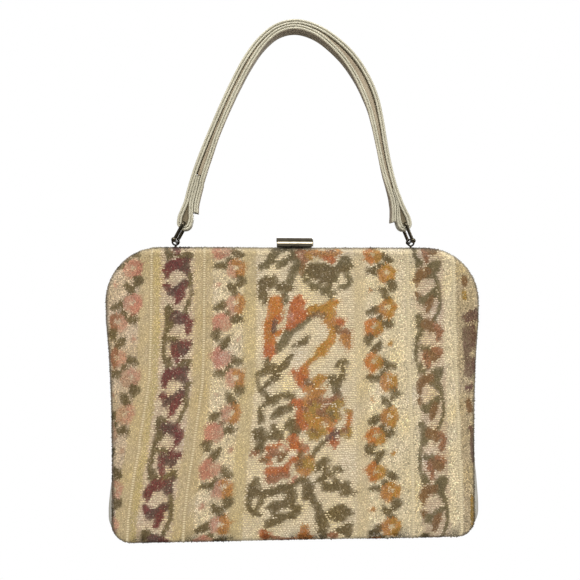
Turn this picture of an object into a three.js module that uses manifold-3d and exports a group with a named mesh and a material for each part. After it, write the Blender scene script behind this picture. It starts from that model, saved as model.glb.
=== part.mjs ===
// Tapestry frame bag: two pile-cloth walls on a hinged steel frame, a vinyl gusset,
// a lift clasp and a two-strip handle on ball-ended links.
// Millimetres, +Z up, front towards -Y. The origin is the hang point under the top of the handle.
import * as THREE from "three";
import { mergeVertices } from "three/addons/utils/BufferGeometryUtils.js";
import Module from "manifold-3d";

const wasm = await Module();
wasm.setup();

// Frame and cloth walls. Drops are measured down from the top of the closed mouth.
const frameHalfWidth = 152.7;
const frameCorner = 44;
const bodyHeight = 233;
const baseCorner = 16;
const clothThick = 2.5;
const rollRadius = 6;
const hingeDrop = 75;
const fit = 0.3;
const mouthSlit = 0.5;

// Side outline below the frame corner.
const sideTable = [
  { drop: 44, half: 152.7 },
  { drop: 60, half: 152.2 },
  { drop: 85, half: 149.8 },
  { drop: 120, half: 147.2 },
  { drop: 160, half: 145.4 },
  { drop: 195, half: 144.6 },
  { drop: 233, half: 144.6 },
];

// How far the face of a wall stands in front of the mouth plane, and where its turned edge ends.
const faceTable = [
  { drop: 0, face: 9.4, rim: mouthSlit },
  { drop: 20, face: 9.6, rim: mouthSlit },
  { drop: 50, face: 11.6, rim: mouthSlit },
  { drop: 75, face: 13.8, rim: mouthSlit },
  { drop: 110, face: 17.4, rim: 4.6 },
  { drop: 150, face: 21.2, rim: 10.2 },
  { drop: 190, face: 24.6, rim: 15.6 },
  { drop: 233, face: 26.4, rim: 19.2 },
];
const faceCrown = 2.2;

// Rail section: in is the distance inside the cloth roll, out the distance from the mouth plane.
const railSection = [
  { in: 2.2, out: 0.9 },
  { in: 2.2, out: 2 },
  { in: 3, out: 3.6 },
  { in: 4.6, out: 4.6 },
  { in: 10, out: 4.6 },
  { in: 10, out: 6 },
  { in: 4.2, out: 6 },
  { in: 1.9, out: 4.5 },
  { in: 0.8, out: 2.4 },
  { in: 0.8, out: 0.9 },
];

// Frame hinge barrels under the ends of the rails.
const hingeRadius = 2;
const hingeLength = 6.4;

// Gusset: bulge is how far its middle stands out from the tucked edges.
const gussetThick = 1.6;
const gussetTuck = 1;
const gussetInset = 0.6;
const gussetStart = 79;
const baseSag = 0.8;
const bulgeTable = [
  { drop: 79, left: 0, right: 0 },
  { drop: 110, left: -2.6, right: -2.6 },
  { drop: 145, left: -3, right: -3 },
  { drop: 172, left: 2, right: 3 },
  { drop: 192, left: 7, right: 8.4 },
  { drop: 208, left: 8.8, right: 10.8 },
  { drop: 233, left: 8.8, right: 10.8 },
];

// Handle strips.
const strapWidth = 14;
const strapThick = 4.1;
const stripGap = 0.4;
const turnBack = { left: 40, right: 30 };
const tailSkive = { left: 6, right: 18 };
const tailEnd = { left: 0.85, right: 0.22 };
const facingEnds = { left: 10, right: 4 };

// Line between the two strips, from the middle of one end loop to the other.
const handleTable = [
  { x: -89.6, z: -157.8 },
  { x: -87.3, z: -147.8 },
  { x: -82.4, z: -129.2 },
  { x: -76.8, z: -111 },
  { x: -70.2, z: -93.6 },
  { x: -63.1, z: -76.6 },
  { x: -55.7, z: -59.5 },
  { x: -47.4, z: -42.1 },
  { x: -38.2, z: -25 },
  { x: -27.2, z: -10.1 },
  { x: -14, z: 0.8 },
  { x: 1, z: 4.6 },
  { x: 17.4, z: 0.8 },
  { x: 32.5, z: -8.4 },
  { x: 46.5, z: -21.1 },
  { x: 57.5, z: -36.9 },
  { x: 65.2, z: -54.4 },
  { x: 69.4, z: -72.5 },
  { x: 72.5, z: -90.8 },
  { x: 75.9, z: -109.2 },
  { x: 80.6, z: -128 },
  { x: 87.2, z: -146.6 },
  { x: 90.6, z: -157.8 },
];

// Half the spacing of an end loop's two sides, by distance from the middle of the loop.
const loopTable = [
  { along: 0, left: 4.3, right: 4 },
  { along: 4, left: 4.5, right: 4.1 },
  { along: 10, left: 3.4, right: 3.1 },
  { along: 18, left: 2.2, right: 2.2 },
  { along: 400, left: 2.2, right: 2.2 },
];

// Turn of the strips' width about the upright, in degrees.
const turnTable = [
  { share: 0, turn: -2.5 },
  { share: 0.08, turn: -4.5 },
  { share: 0.2, turn: -6 },
  { share: 0.34, turn: -4 },
  { share: 0.48, turn: 0 },
  { share: 0.6, turn: 5 },
  { share: 0.72, turn: 10 },
  { share: 0.84, turn: 12 },
  { share: 0.92, turn: 9 },
  { share: 1, turn: 3.2 },
];

// How far the inner strip parts from the outer one along the handle.
const partTable = [
  { share: 0, part: 3.4 },
  { share: 0.14, part: 3.2 },
  { share: 0.2, part: 1.9 },
  { share: 0.28, part: 1.6 },
  { share: 0.36, part: 1.5 },
  { share: 0.42, part: 0.7 },
  { share: 0.47, part: 0.2 },
  { share: 0.51, part: 0.7 },
  { share: 0.545, part: 2.4 },
  { share: 0.58, part: 4.3 },
  { share: 0.61, part: 5 },
  { share: 0.65, part: 5.4 },
  { share: 0.72, part: 5.1 },
  { share: 0.76, part: 3.8 },
  { share: 0.8, part: 2.9 },
  { share: 0.84, part: 2.2 },
  { share: 0.88, part: 2 },
  { share: 0.92, part: 1.6 },
  { share: 1, part: 1.6 },
];

// Ears and links.
const handleDrop = 177.6;
const earX = 97.5;
const earY = 4.2;
const pinRise = 5.6;
const earRing = 3.3;
const earBore = 1.6;
const earThick = 3.2;
const earPost = 1.2;
const earPostDrop = 3;
const linkWire = 1.4;
const linkPin = 1.2;
const linkHalfSpan = 9.4;
const linkTurn = { left: 1, right: 2 };
const linkBall = 2.1;
const barDrop = 0.3;

// Clasp.
const claspLength = 29.5;
const leverHalfDepth = 10.2;
const leverRise = 7.7;
const leverWall = 1.2;
const knuckleY = 8;
const knuckleZ = 1.2;
const knuckleRadius = 1.9;
const knuckleBore = 1.15;
const claspPin = 0.8;
const middleKnuckle = 15.2;
const plateBottom = 0.3;
const plateThick = 1;
const postRadius = 0.7;
const postX = 6;
const postY = 2.6;
const postDrop = 3;

const cream = { color: 0xb9a27c, roughness: 0.95, metalness: 0 };
const bone = { color: 0xb5ac97, roughness: 0.6, metalness: 0 };
const oldBrass = { color: 0x8a7a58, roughness: 0.35, metalness: 1 };
const steel = { color: 0x8c8c8a, roughness: 0.45, metalness: 1 };

// Smooth value of a column in a table, by the table's first column.
function lookUp(table, key, column, at) {
  const last = table.length - 1;
  if (at <= table[0][key]) {
    return table[0][column];
  }
  if (at >= table[last][key]) {
    return table[last][column];
  }
  let i = 0;
  while (at > table[i + 1][key]) {
    i += 1;
  }
  const slopeAt = (n) => {
    const before = table[Math.max(n - 1, 0)];
    const after = table[Math.min(n + 1, last)];
    return (after[column] - before[column]) / (after[key] - before[key]);
  };
  const span = table[i + 1][key] - table[i][key];
  const k = (at - table[i][key]) / span;
  const from = table[i][column];
  const to = table[i + 1][column];
  const h = k * k * (3 - 2 * k);
  const leave = k * (1 - k) * (1 - k) * slopeAt(i) * span;
  const arrive = k * k * (k - 1) * slopeAt(i + 1) * span;
  return from + (to - from) * h + leave + arrive;
}

function solidOf(geometry) {
  const bare = geometry.index ? geometry.toNonIndexed() : geometry.clone();
  bare.deleteAttribute("normal");
  bare.deleteAttribute("uv");
  const merged = mergeVertices(bare, 1e-4);
  return new wasm.Manifold(
    new wasm.Mesh({
      numProp: 3,
      vertProperties: merged.attributes.position.array,
      triVerts: new Uint32Array(merged.index.array),
    }),
  );
}

function geometryOf(body) {
  const mesh = body.getMesh();
  const geometry = new THREE.BufferGeometry();
  geometry.setAttribute("position", new THREE.BufferAttribute(mesh.vertProperties, 3));
  geometry.setIndex(new THREE.BufferAttribute(mesh.triVerts, 1));
  geometry.computeVertexNormals();
  return geometry;
}

function join(parts) {
  return parts.map(solidOf).reduce((all, one) => all.add(one));
}

function cut(body, tools) {
  return tools.map(solidOf).reduce((all, one) => all.subtract(one), body);
}

function meshOf(name, geometry, look) {
  const mesh = new THREE.Mesh(geometry, new THREE.MeshStandardMaterial(look));
  mesh.name = name;
  return mesh;
}

// Closed body from a list of equal closed rings of points, capped at both ends.
function ringBody(rings) {
  const count = rings[0].length;
  const points = rings.flat();
  const faces = [];
  for (let r = 0; r + 1 < rings.length; r += 1) {
    for (let i = 0; i < count; i += 1) {
      const a = r * count + i;
      const b = r * count + ((i + 1) % count);
      faces.push([a, b, b + count], [a, b + count, a + count]);
    }
  }
  const outline = rings[0].map((p) => new THREE.Vector2(p.in, p.out));
  const cap = THREE.ShapeUtils.triangulateShape(outline, []);
  const far = (rings.length - 1) * count;
  cap.forEach(([a, b, c]) => {
    faces.push([a, c, b], [far + a, far + b, far + c]);
  });
  return facedBody(points, faces);
}

// Closed sheet between two grids of points that share their rows and columns.
function sheetBody(outer, inner) {
  const rows = outer.length;
  const columns = outer[0].length;
  const points = outer.flat().concat(inner.flat());
  const under = rows * columns;
  const at = (r, c) => r * columns + c;
  const faces = [];
  for (let r = 0; r + 1 < rows; r += 1) {
    for (let c = 0; c + 1 < columns; c += 1) {
      const quad = [at(r, c), at(r, c + 1), at(r + 1, c + 1), at(r + 1, c)];
      faces.push([quad[0], quad[1], quad[2]], [quad[0], quad[2], quad[3]]);
      const back = quad.map((q) => q + under);
      faces.push([back[0], back[2], back[1]], [back[0], back[3], back[2]]);
    }
  }
  const edge = [];
  for (let c = 0; c < columns - 1; c += 1) {
    edge.push(at(0, c));
  }
  for (let r = 0; r < rows - 1; r += 1) {
    edge.push(at(r, columns - 1));
  }
  for (let c = columns - 1; c > 0; c -= 1) {
    edge.push(at(rows - 1, c));
  }
  for (let r = rows - 1; r > 0; r -= 1) {
    edge.push(at(r, 0));
  }
  edge.forEach((a, i) => {
    const b = edge[(i + 1) % edge.length];
    faces.push([b, a, a + under], [b, a + under, b + under]);
  });
  return facedBody(points, faces);
}

// Geometry from points and faces, turned to face outwards.
function facedBody(points, faces) {
  let volume = 0;
  faces.forEach(([a, b, c]) => {
    const p = points[a];
    const q = points[b];
    const r = points[c];
    volume += p.x * (q.y * r.z - q.z * r.y);
    volume += p.y * (q.z * r.x - q.x * r.z);
    volume += p.z * (q.x * r.y - q.y * r.x);
  });
  const turned = volume < 0 ? faces.map(([a, b, c]) => [a, c, b]) : faces;
  const geometry = new THREE.BufferGeometry();
  const flat = points.flatMap((p) => [p.x, p.y, p.z]);
  geometry.setAttribute("position", new THREE.Float32BufferAttribute(flat, 3));
  geometry.setIndex(turned.flat());
  geometry.computeVertexNormals();
  return geometry;
}

// Upright or lying round bars.
function roundBar(radius, from, to, sides = 16) {
  const start = new THREE.Vector3(from.x, from.y, from.z);
  const end = new THREE.Vector3(to.x, to.y, to.z);
  const axis = end.clone().sub(start);
  const bar = new THREE.CylinderGeometry(radius, radius, axis.length(), sides);
  const turn = new THREE.Quaternion();
  turn.setFromUnitVectors(new THREE.Vector3(0, 1, 0), axis.normalize());
  bar.applyQuaternion(turn);
  const middle = start.add(end).multiplyScalar(0.5);
  bar.translate(middle.x, middle.y, middle.z);
  return bar;
}

function ball(radius, at) {
  const round = new THREE.SphereGeometry(radius, 12, 8);
  round.translate(at.x, at.y, at.z);
  return round;
}

// Bar along X from a profile in the YZ plane.
function profileBar(shape, fromX, toX) {
  const bar = new THREE.ExtrudeGeometry(shape, {
    depth: toX - fromX,
    bevelEnabled: false,
    curveSegments: 12,
  });
  const turn = new THREE.Matrix4();
  turn.makeBasis(
    new THREE.Vector3(0, 1, 0),
    new THREE.Vector3(0, 0, 1),
    new THREE.Vector3(1, 0, 0),
  );
  bar.applyMatrix4(turn);
  bar.translate(fromX, 0, 0);
  return bar;
}

function boxBetween(low, high) {
  const block = new THREE.BoxGeometry(high.x - low.x, high.y - low.y, high.z - low.z);
  block.translate((low.x + high.x) / 2, (low.y + high.y) / 2, (low.z + high.z) / 2);
  return block;
}

// Half width of the body at a drop, for an outline moved inwards by an inset.
function halfWidth(drop, inset = 0) {
  const corner = frameCorner - inset;
  const foot = baseCorner - inset;
  if (drop < frameCorner) {
    const up = Math.min(frameCorner - drop, corner);
    return frameHalfWidth - frameCorner + Math.sqrt(corner * corner - up * up);
  }
  const half = lookUp(sideTable, "drop", "half", drop);
  const footStart = bodyHeight - baseCorner;
  if (drop > footStart) {
    const down = Math.min(drop - footStart, foot);
    return half - baseCorner + Math.sqrt(foot * foot - down * down);
  }
  return half - inset;
}

// Closed outline of the body as points in the XZ plane, from the top left round to the right.
function bodyOutline() {
  const right = [];
  for (let k = 0; k <= 12; k += 1) {
    const turn = (k / 12) * (Math.PI / 2);
    right.push({
      x: frameHalfWidth - frameCorner + frameCorner * Math.sin(turn),
      z: -frameCorner + frameCorner * Math.cos(turn),
    });
  }
  for (let drop = 54; drop < bodyHeight - baseCorner; drop += 12) {
    right.push({ x: halfWidth(drop), z: -drop });
  }
  for (let k = 0; k <= 8; k += 1) {
    const turn = (k / 8) * (Math.PI / 2);
    const foot = bodyHeight - baseCorner;
    const drop = foot + baseCorner * Math.sin(turn);
    right.push({ x: halfWidth(Math.min(drop, bodyHeight)), z: -drop });
  }
  const left = right.map((p) => ({ x: -p.x, z: p.z })).reverse();
  return right.concat(left);
}

const outline = bodyOutline();

// Distance from a point of the body to its outline.
function edgeDistance(x, z) {
  let best = Infinity;
  outline.forEach((a, i) => {
    const b = outline[(i + 1) % outline.length];
    const dx = b.x - a.x;
    const dz = b.z - a.z;
    const k = ((x - a.x) * dx + (z - a.z) * dz) / (dx * dx + dz * dz);
    const along = Math.min(Math.max(k, 0), 1);
    best = Math.min(best, Math.hypot(x - a.x - along * dx, z - a.z - along * dz));
  });
  return best;
}

// Quarter-round rise from the turned edge of a wall to its face.
function rollRise(distance, radius) {
  const k = 1 - Math.min(distance / radius, 1);
  return Math.sqrt(1 - k * k);
}

const wallDrops = [
  0, 0.7, 2.2, 4.6, 8, 13, 19, 26, 35, 46, 60, 80, 102, 125, 148, 171, 190, 206, 217, 223, 227.5, 230.5,
  232.3, 233,
];
const wallShares = [0, 0.3, 0.55, 0.74, 0.86, 0.925, 0.96, 0.982, 0.994, 1];

// Grid of points of a wall, side -1 at the front and 1 at the back. The inset grid is the inside.
function wallGrid(side, inset) {
  const shares = wallShares
    .slice(1)
    .reverse()
    .map((s) => -s)
    .concat(wallShares);
  return wallDrops.map((row) => {
    const drop = inset + (row / bodyHeight) * (bodyHeight - 2 * inset);
    const half = halfWidth(drop, inset);
    return shares.map((share) => {
      const x = share * half;
      const onEdge = Math.abs(share) === 1 || row === 0 || row === bodyHeight;
      const distance = onEdge ? 0 : Math.max(edgeDistance(x, -drop) - inset, 0);
      const rim = lookUp(faceTable, "drop", "rim", drop);
      const swell = Math.sin((Math.PI * drop) / bodyHeight) * (1 - (x / half) ** 2);
      const face = lookUp(faceTable, "drop", "face", drop) + faceCrown * swell;
      const depth = rim + (face - inset - rim) * rollRise(distance, rollRadius - inset);
      return { x, y: side * depth, z: -drop };
    });
  });
}

function clothWall(side, holes) {
  const wall = sheetBody(wallGrid(side, 0), wallGrid(side, clothThick));
  return geometryOf(cut(solidOf(wall), holes));
}

function postHole(x, y, radius) {
  return roundBar(radius + fit, { x, y, z: 4 }, { x, y, z: -4.4 }, 12);
}

// Points of the frame half from the end of one leg, over the top, to the other.
function framePath() {
  const right = [];
  for (let k = 0; k <= 6; k += 1) {
    const turn = (k / 6) * (Math.PI / 2);
    right.push({
      x: frameHalfWidth - frameCorner + frameCorner * Math.sin(turn),
      z: -frameCorner + frameCorner * Math.cos(turn),
    });
  }
  [52, 63, hingeDrop].forEach((drop) => right.push({ x: halfWidth(drop), z: -drop }));
  const left = right.map((p) => ({ x: -p.x, z: p.z })).reverse();
  return left.concat(right);
}

// Unit direction along a path and the direction to its inner side.
function pathFrame(path, i) {
  const before = path[Math.max(i - 1, 0)];
  const after = path[Math.min(i + 1, path.length - 1)];
  const length = Math.hypot(after.x - before.x, after.z - before.z);
  const along = { x: (after.x - before.x) / length, z: (after.z - before.z) / length };
  return { along, inward: { x: along.z, z: -along.x } };
}

function frameRail(side) {
  const path = framePath();
  const rings = path.map((p, i) => {
    const { inward } = pathFrame(path, i);
    return railSection.map((corner) => {
      const reach = clothThick + corner.in;
      return {
        ...corner,
        x: p.x + inward.x * reach,
        y: side * corner.out,
        z: p.z + inward.z * reach,
      };
    });
  });
  return ringBody(rings);
}

function frameHinge(side) {
  const near = side * (halfWidth(hingeDrop) - clothThick - 3.2);
  const far = near - side * hingeLength;
  const z = -hingeDrop - hingeRadius - fit;
  return roundBar(hingeRadius, { x: near, y: 0, z }, { x: far, y: 0, z });
}

// Path of the gusset, down the left side, under the base and up the right side.
function gussetPath() {
  const right = [];
  const foot = bodyHeight - baseCorner;
  [0, 45, 90].forEach((x) => right.push({ x, drop: bodyHeight }));
  for (let k = 4; k >= 0; k -= 1) {
    const turn = (k / 4) * (Math.PI / 2);
    const drop = foot + baseCorner * Math.sin(turn);
    right.push({ x: halfWidth(Math.min(drop, bodyHeight)), drop });
  }
  [206, 192, 177, 160, 142, 124, 108, 92, gussetStart].forEach((drop) => {
    right.push({ x: halfWidth(drop), drop });
  });
  const left = right
    .slice(1)
    .map((p) => ({ x: -p.x, drop: p.drop }))
    .reverse();
  return left.concat(right).map((p) => ({ ...p, z: -p.drop }));
}

function gussetBody() {
  const path = gussetPath();
  const across = [-2, -1, -0.88, -0.64, -0.33, 0, 0.33, 0.64, 0.88, 1, 2];
  const tucked = clothThick + gussetInset;
  const grid = (depth) =>
    path.map((p, i) => {
      const { along } = pathFrame(path, i);
      const outward = { x: along.z, z: -along.x };
      const rim = lookUp(faceTable, "drop", "rim", p.drop);
      const onBase = Math.max(0, -outward.z);
      const column = p.x < 0 ? "left" : "right";
      const bulge = lookUp(bulgeTable, "drop", column, p.drop);
      return across.map((k) => {
        const free = Math.min(Math.abs(k), 1);
        const round = 1 - free * free;
        const flat = 1 - Math.max(0, (free - 0.64) / 0.36) ** 2;
        const lower = onBase ** 2.5;
        const rise = bulge * round * (1 - lower) + (tucked + baseSag) * flat * lower;
        const stand = rise - tucked - depth;
        const reach = Math.abs(k) > 1 ? rim + gussetTuck : (rim - fit) * free;
        const floor = depth - bodyHeight - baseSag;
        return {
          x: p.x + outward.x * stand,
          y: Math.sign(k) * reach,
          z: Math.max(p.z + outward.z * stand, floor),
        };
      });
    });
  return sheetBody(grid(0), grid(gussetThick));
}

// Handle line as evenly spaced stations with the direction along it and away from the hand.
const handleSteps = 88;
const handleCurve = new THREE.CatmullRomCurve3(
  handleTable.map((p) => new THREE.Vector3(p.x, 0, p.z)),
  false,
  "centripetal",
);
handleCurve.arcLengthDivisions = 2000;
const handleLength = handleCurve.getLength();

function handleStation(along) {
  const share = Math.min(Math.max(along / handleLength, 0), 1);
  const point = handleCurve.getPointAt(share);
  const tangent = handleCurve.getTangentAt(share);
  return {
    x: point.x,
    z: point.z,
    along: { x: tangent.x, z: tangent.z },
    outward: { x: -tangent.z, z: tangent.x },
  };
}

function fromEnd(along) {
  return Math.min(along, handleLength - along);
}

function endSide(along) {
  return along < handleLength / 2 ? "left" : "right";
}

function loopHalf(along) {
  return lookUp(loopTable, "along", endSide(along), fromEnd(along));
}

// Thickness of the turned-back tail, thinned towards its end.
function tailThick(along) {
  const side = endSide(along);
  const left = turnBack[side] - fromEnd(along);
  return strapThick * Math.min(Math.max(left / tailSkive[side], tailEnd[side]), 1);
}

// Four corners of a strip round a centre. Way is the unit direction through its thickness.
function stripRing(centre, way, thick, along) {
  const turn = lookUp(turnTable, "share", "turn", along / handleLength);
  const lean = THREE.MathUtils.degToRad(turn);
  const corners = [
    { in: -thick / 2, out: -strapWidth / 2 },
    { in: thick / 2, out: -strapWidth / 2 },
    { in: thick / 2, out: strapWidth / 2 },
    { in: -thick / 2, out: strapWidth / 2 },
  ];
  return corners.map((c) => ({
    ...c,
    x: centre.x + way.x * c.in + Math.sin(lean) * c.out,
    y: Math.cos(lean) * c.out,
    z: centre.z + way.z * c.in,
  }));
}

// Ring on one side of the handle line: sign 1 is the outer side, -1 the inner one.
function sideRing(along, sign, reach, thick) {
  const station = handleStation(along);
  const way = { x: station.outward.x * sign, z: station.outward.z * sign };
  const centre = { x: station.x + way.x * reach, z: station.z + way.z * reach };
  return stripRing(centre, way, thick, along);
}

// Rings of the half circle round an end of the handle line, from the outer side to the inner one.
function endRings(along) {
  const station = handleStation(along);
  const beyond = along === 0 ? -1 : 1;
  return stations(0, Math.PI, 10)
    .slice(1, -1)
    .map((turn) => {
      const way = {
        x: station.outward.x * Math.cos(turn) + station.along.x * Math.sin(turn) * beyond,
        z: station.outward.z * Math.cos(turn) + station.along.z * Math.sin(turn) * beyond,
      };
      const reach = loopHalf(along);
      const centre = { x: station.x + way.x * reach, z: station.z + way.z * reach };
      return stripRing(centre, way, strapThick, along);
    });
}

function stations(from, to, count) {
  const list = [];
  for (let i = 0; i <= count; i += 1) {
    list.push(from + ((to - from) * i) / count);
  }
  return list;
}

function outerStrip() {
  const tail = (s) => {
    const thick = tailThick(s);
    return sideRing(s, -1, loopHalf(s) - strapThick / 2 + thick / 2, thick);
  };
  const rings = [
    ...stations(turnBack.left, 0, 12).map(tail),
    ...endRings(0).reverse(),
    ...stations(0, handleLength, handleSteps).map((s) => sideRing(s, 1, loopHalf(s), strapThick)),
    ...endRings(handleLength),
    ...stations(handleLength, handleLength - turnBack.right, 10).map(tail),
  ];
  return ringBody(rings);
}

// Distance of the inner strip's near face from the handle line.
function facingNear(along) {
  const beside = loopHalf(along) - strapThick / 2 + tailThick(along) + stripGap;
  const under = stripGap / 2 + lookUp(partTable, "share", "part", along / handleLength);
  const past = fromEnd(along) - turnBack[endSide(along)] - 1;
  const k = Math.min(Math.max(past / 14, 0), 1);
  return beside + (under - beside) * k * k * (3 - 2 * k);
}

function innerStrip() {
  const full = stations(facingEnds.left, handleLength - facingEnds.right, handleSteps - 6);
  return ringBody(full.map((s) => sideRing(s, -1, facingNear(s) + strapThick / 2, strapThick)));
}

// Eye on a collared post through the cloth.
function ear(side) {
  const x = side * earX;
  const ring = roundBar(
    earRing,
    { x, y: earY - earThick / 2, z: pinRise },
    { x, y: earY + earThick / 2, z: pinRise },
    24,
  );
  const post = roundBar(earPost, { x, y: earY, z: -earPostDrop }, { x, y: earY, z: 3 });
  const collar = roundBar(2.5, { x, y: earY, z: plateBottom }, { x, y: earY, z: 2.6 }, 20);
  const bore = roundBar(
    earBore,
    { x, y: earY - earThick, z: pinRise },
    { x, y: earY + earThick, z: pinRise },
    20,
  );
  return geometryOf(cut(join([ring, post, collar]), [bore]));
}

// Wire link from the pin in an eye up to the bar in the end loop of the handle.
function link(side) {
  const along = side < 0 ? 0 : handleLength;
  const end = handleStation(along);
  const lean = THREE.MathUtils.degToRad(linkTurn[endSide(along)]);
  const bar = {
    x: end.x + end.along.x * barDrop * side,
    z: end.z + end.along.z * barDrop * side,
  };
  const pin = { x: side * earX, z: pinRise - handleDrop };
  const at = (place, out) => ({
    x: place.x + Math.sin(lean) * out,
    y: Math.cos(lean) * out,
    z: place.z,
  });
  const pinHalf = linkHalfSpan + 2;
  const parts = [
    roundBar(linkWire, at(bar, -linkHalfSpan), at(bar, linkHalfSpan), 12),
    roundBar(linkPin, at(pin, -pinHalf), at(pin, pinHalf), 12),
  ];
  [-1, 1].forEach((hand) => {
    const out = hand * linkHalfSpan;
    parts.push(roundBar(linkWire, at(bar, out), at(pin, out), 12));
    parts.push(ball(linkWire, at(bar, out)));
    parts.push(ball(linkBall, at(pin, hand * pinHalf)));
  });
  return geometryOf(join(parts));
}

// Curved strip of the lever between two angles round its half-round profile.
function leverStrip(fromDegrees, toDegrees, fromX, toX) {
  const outer = [];
  const inner = [];
  const steps = Math.max(3, Math.round((toDegrees - fromDegrees) / 10));
  for (let i = 0; i <= steps; i += 1) {
    const turn = THREE.MathUtils.degToRad(fromDegrees + ((toDegrees - fromDegrees) * i) / steps);
    const y = Math.cos(turn);
    const z = Math.sin(turn);
    outer.push(new THREE.Vector2(leverHalfDepth * y, leverRise * z));
    inner.push(new THREE.Vector2((leverHalfDepth - leverWall) * y, (leverRise - leverWall) * z));
  }
  return profileBar(new THREE.Shape([...outer, ...inner.reverse()]), fromX, toX);
}

function knuckle(radius, fromX, toX) {
  const at = (x) => ({ x, y: knuckleY, z: knuckleZ });
  return roundBar(radius, at(fromX), at(toX), 24);
}

function claspLever() {
  const half = claspLength / 2;
  const mid = middleKnuckle / 2;
  const body = join([
    leverStrip(42, 166, -half, half),
    leverStrip(18, 46, -mid, mid),
    knuckle(knuckleRadius, -mid, mid),
  ]);
  return geometryOf(cut(body, [knuckle(knuckleBore, -half, half)]));
}

function claspPosts(side) {
  return [-postX, postX].map((x) =>
    roundBar(
      postRadius,
      { x, y: side * postY, z: -postDrop },
      { x, y: side * postY, z: plateBottom + plateThick / 2 },
    ),
  );
}

function claspBase() {
  const half = claspLength / 2 - 0.4;
  const mid = middleKnuckle / 2 + fit;
  const top = plateBottom + plateThick;
  const plate = boxBetween({ x: -half, y: 1, z: plateBottom }, { x: half, y: 5.4, z: top });
  const sides = [-1, 1].flatMap((hand) => {
    const near = Math.min(hand * mid, hand * half);
    const far = Math.max(hand * mid, hand * half);
    return [
      knuckle(knuckleRadius, near, far),
      boxBetween({ x: near, y: 5, z: plateBottom }, { x: far, y: knuckleY, z: top }),
    ];
  });
  const pin = knuckle(claspPin, -half, half);
  return geometryOf(join([plate, ...sides, pin, ...claspPosts(1)]));
}

function claspCatch() {
  const top = plateBottom + plateThick;
  const plate = boxBetween({ x: -8.5, y: -7, z: plateBottom }, { x: 8.5, y: -1, z: top });
  const lug = boxBetween({ x: -3, y: -4.6, z: plateBottom }, { x: 3, y: -3.4, z: 4.2 });
  const hook = boxBetween({ x: -3, y: -5.8, z: 3.3 }, { x: 3, y: -3.8, z: 4.2 });
  const tongue = boxBetween({ x: -2.4, y: -11.3, z: plateBottom }, { x: 2.4, y: -6, z: 1.1 });
  return geometryOf(join([plate, lug, hook, tongue, ...claspPosts(-1)]));
}

const claspHoles = (side) => [-postX, postX].map((x) => postHole(x, side * postY, postRadius));
const earHoles = [-earX, earX].map((x) => postHole(x, earY, earPost));

const bag = new THREE.Group();
bag.position.set(0, -earY, -handleDrop);
bag.add(
  meshOf("front_panel", clothWall(-1, claspHoles(-1)), cream),
  meshOf("back_panel", clothWall(1, [...claspHoles(1), ...earHoles]), cream),
  meshOf("gusset", gussetBody(), bone),
  meshOf("front_rail", frameRail(-1), steel),
  meshOf("back_rail", frameRail(1), steel),
  meshOf("left_hinge", frameHinge(-1), steel),
  meshOf("right_hinge", frameHinge(1), steel),
  meshOf("left_ear", ear(-1), oldBrass),
  meshOf("right_ear", ear(1), oldBrass),
  meshOf("clasp_base", claspBase(), oldBrass),
  meshOf("clasp_lever", claspLever(), oldBrass),
  meshOf("clasp_catch", claspCatch(), oldBrass),
);

const handle = new THREE.Group();
handle.add(
  meshOf("left_link", link(-1), oldBrass),
  meshOf("right_link", link(1), oldBrass),
  meshOf("handle_strap", outerStrip(), bone),
  meshOf("handle_facing", innerStrip(), bone),
);

const whole = new THREE.Group();
whole.add(bag, handle);
export default whole;
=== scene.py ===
import math

import bpy
import numpy as np
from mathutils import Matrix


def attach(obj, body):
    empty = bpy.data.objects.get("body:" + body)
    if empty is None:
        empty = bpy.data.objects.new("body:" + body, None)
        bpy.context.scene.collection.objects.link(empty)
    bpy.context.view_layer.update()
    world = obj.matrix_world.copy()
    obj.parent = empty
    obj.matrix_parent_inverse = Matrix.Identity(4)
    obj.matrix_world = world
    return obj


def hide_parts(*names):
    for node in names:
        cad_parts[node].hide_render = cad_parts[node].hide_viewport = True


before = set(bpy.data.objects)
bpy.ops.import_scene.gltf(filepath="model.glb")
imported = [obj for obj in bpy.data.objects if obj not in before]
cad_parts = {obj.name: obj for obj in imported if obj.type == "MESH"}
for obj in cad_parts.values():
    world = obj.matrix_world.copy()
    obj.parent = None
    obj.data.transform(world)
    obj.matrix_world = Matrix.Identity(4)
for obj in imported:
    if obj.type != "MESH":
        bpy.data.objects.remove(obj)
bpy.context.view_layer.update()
mm = 0.001  # places are worked out in mm, meshes are in metres
print("frame loaded")


def clearPick():
    if bpy.context.object and bpy.context.object.mode != "OBJECT":
        bpy.ops.object.mode_set(mode="OBJECT")
    bpy.ops.object.select_all(action="DESELECT")


def pickOnly(piece):
    clearPick()
    piece.select_set(True)
    bpy.context.view_layer.objects.active = piece


def toLinear(colour):
    share = np.asarray(colour, float) / 255
    return np.where(share <= 0.04045, share / 12.92, ((share + 0.055) / 1.055) ** 2.4)


def rgba(colour):
    return (*[float(c) for c in toLinear(colour)], 1.0)


# Smooth value of a table's column by its first column
def smoothLook(table, column, at):
    keys = np.array([row[0] for row in table], float)
    values = np.array([row[column] for row in table], float)
    slopes = np.empty_like(values)
    slopes[1:-1] = (values[2:] - values[:-2]) / (keys[2:] - keys[:-2])
    slopes[0] = (values[1] - values[0]) / (keys[1] - keys[0])
    slopes[-1] = (values[-1] - values[-2]) / (keys[-1] - keys[-2])
    at = np.clip(np.asarray(at, float), keys[0], keys[-1])
    i = np.clip(np.searchsorted(keys, at, side="right") - 1, 0, len(keys) - 2)
    span = keys[i + 1] - keys[i]
    k = (at - keys[i]) / span
    leave = k * (1 - k) ** 2 * slopes[i] * span
    arrive = k * k * (k - 1) * slopes[i + 1] * span
    return values[i] + (values[i + 1] - values[i]) * k * k * (3 - 2 * k) + leave + arrive


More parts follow.
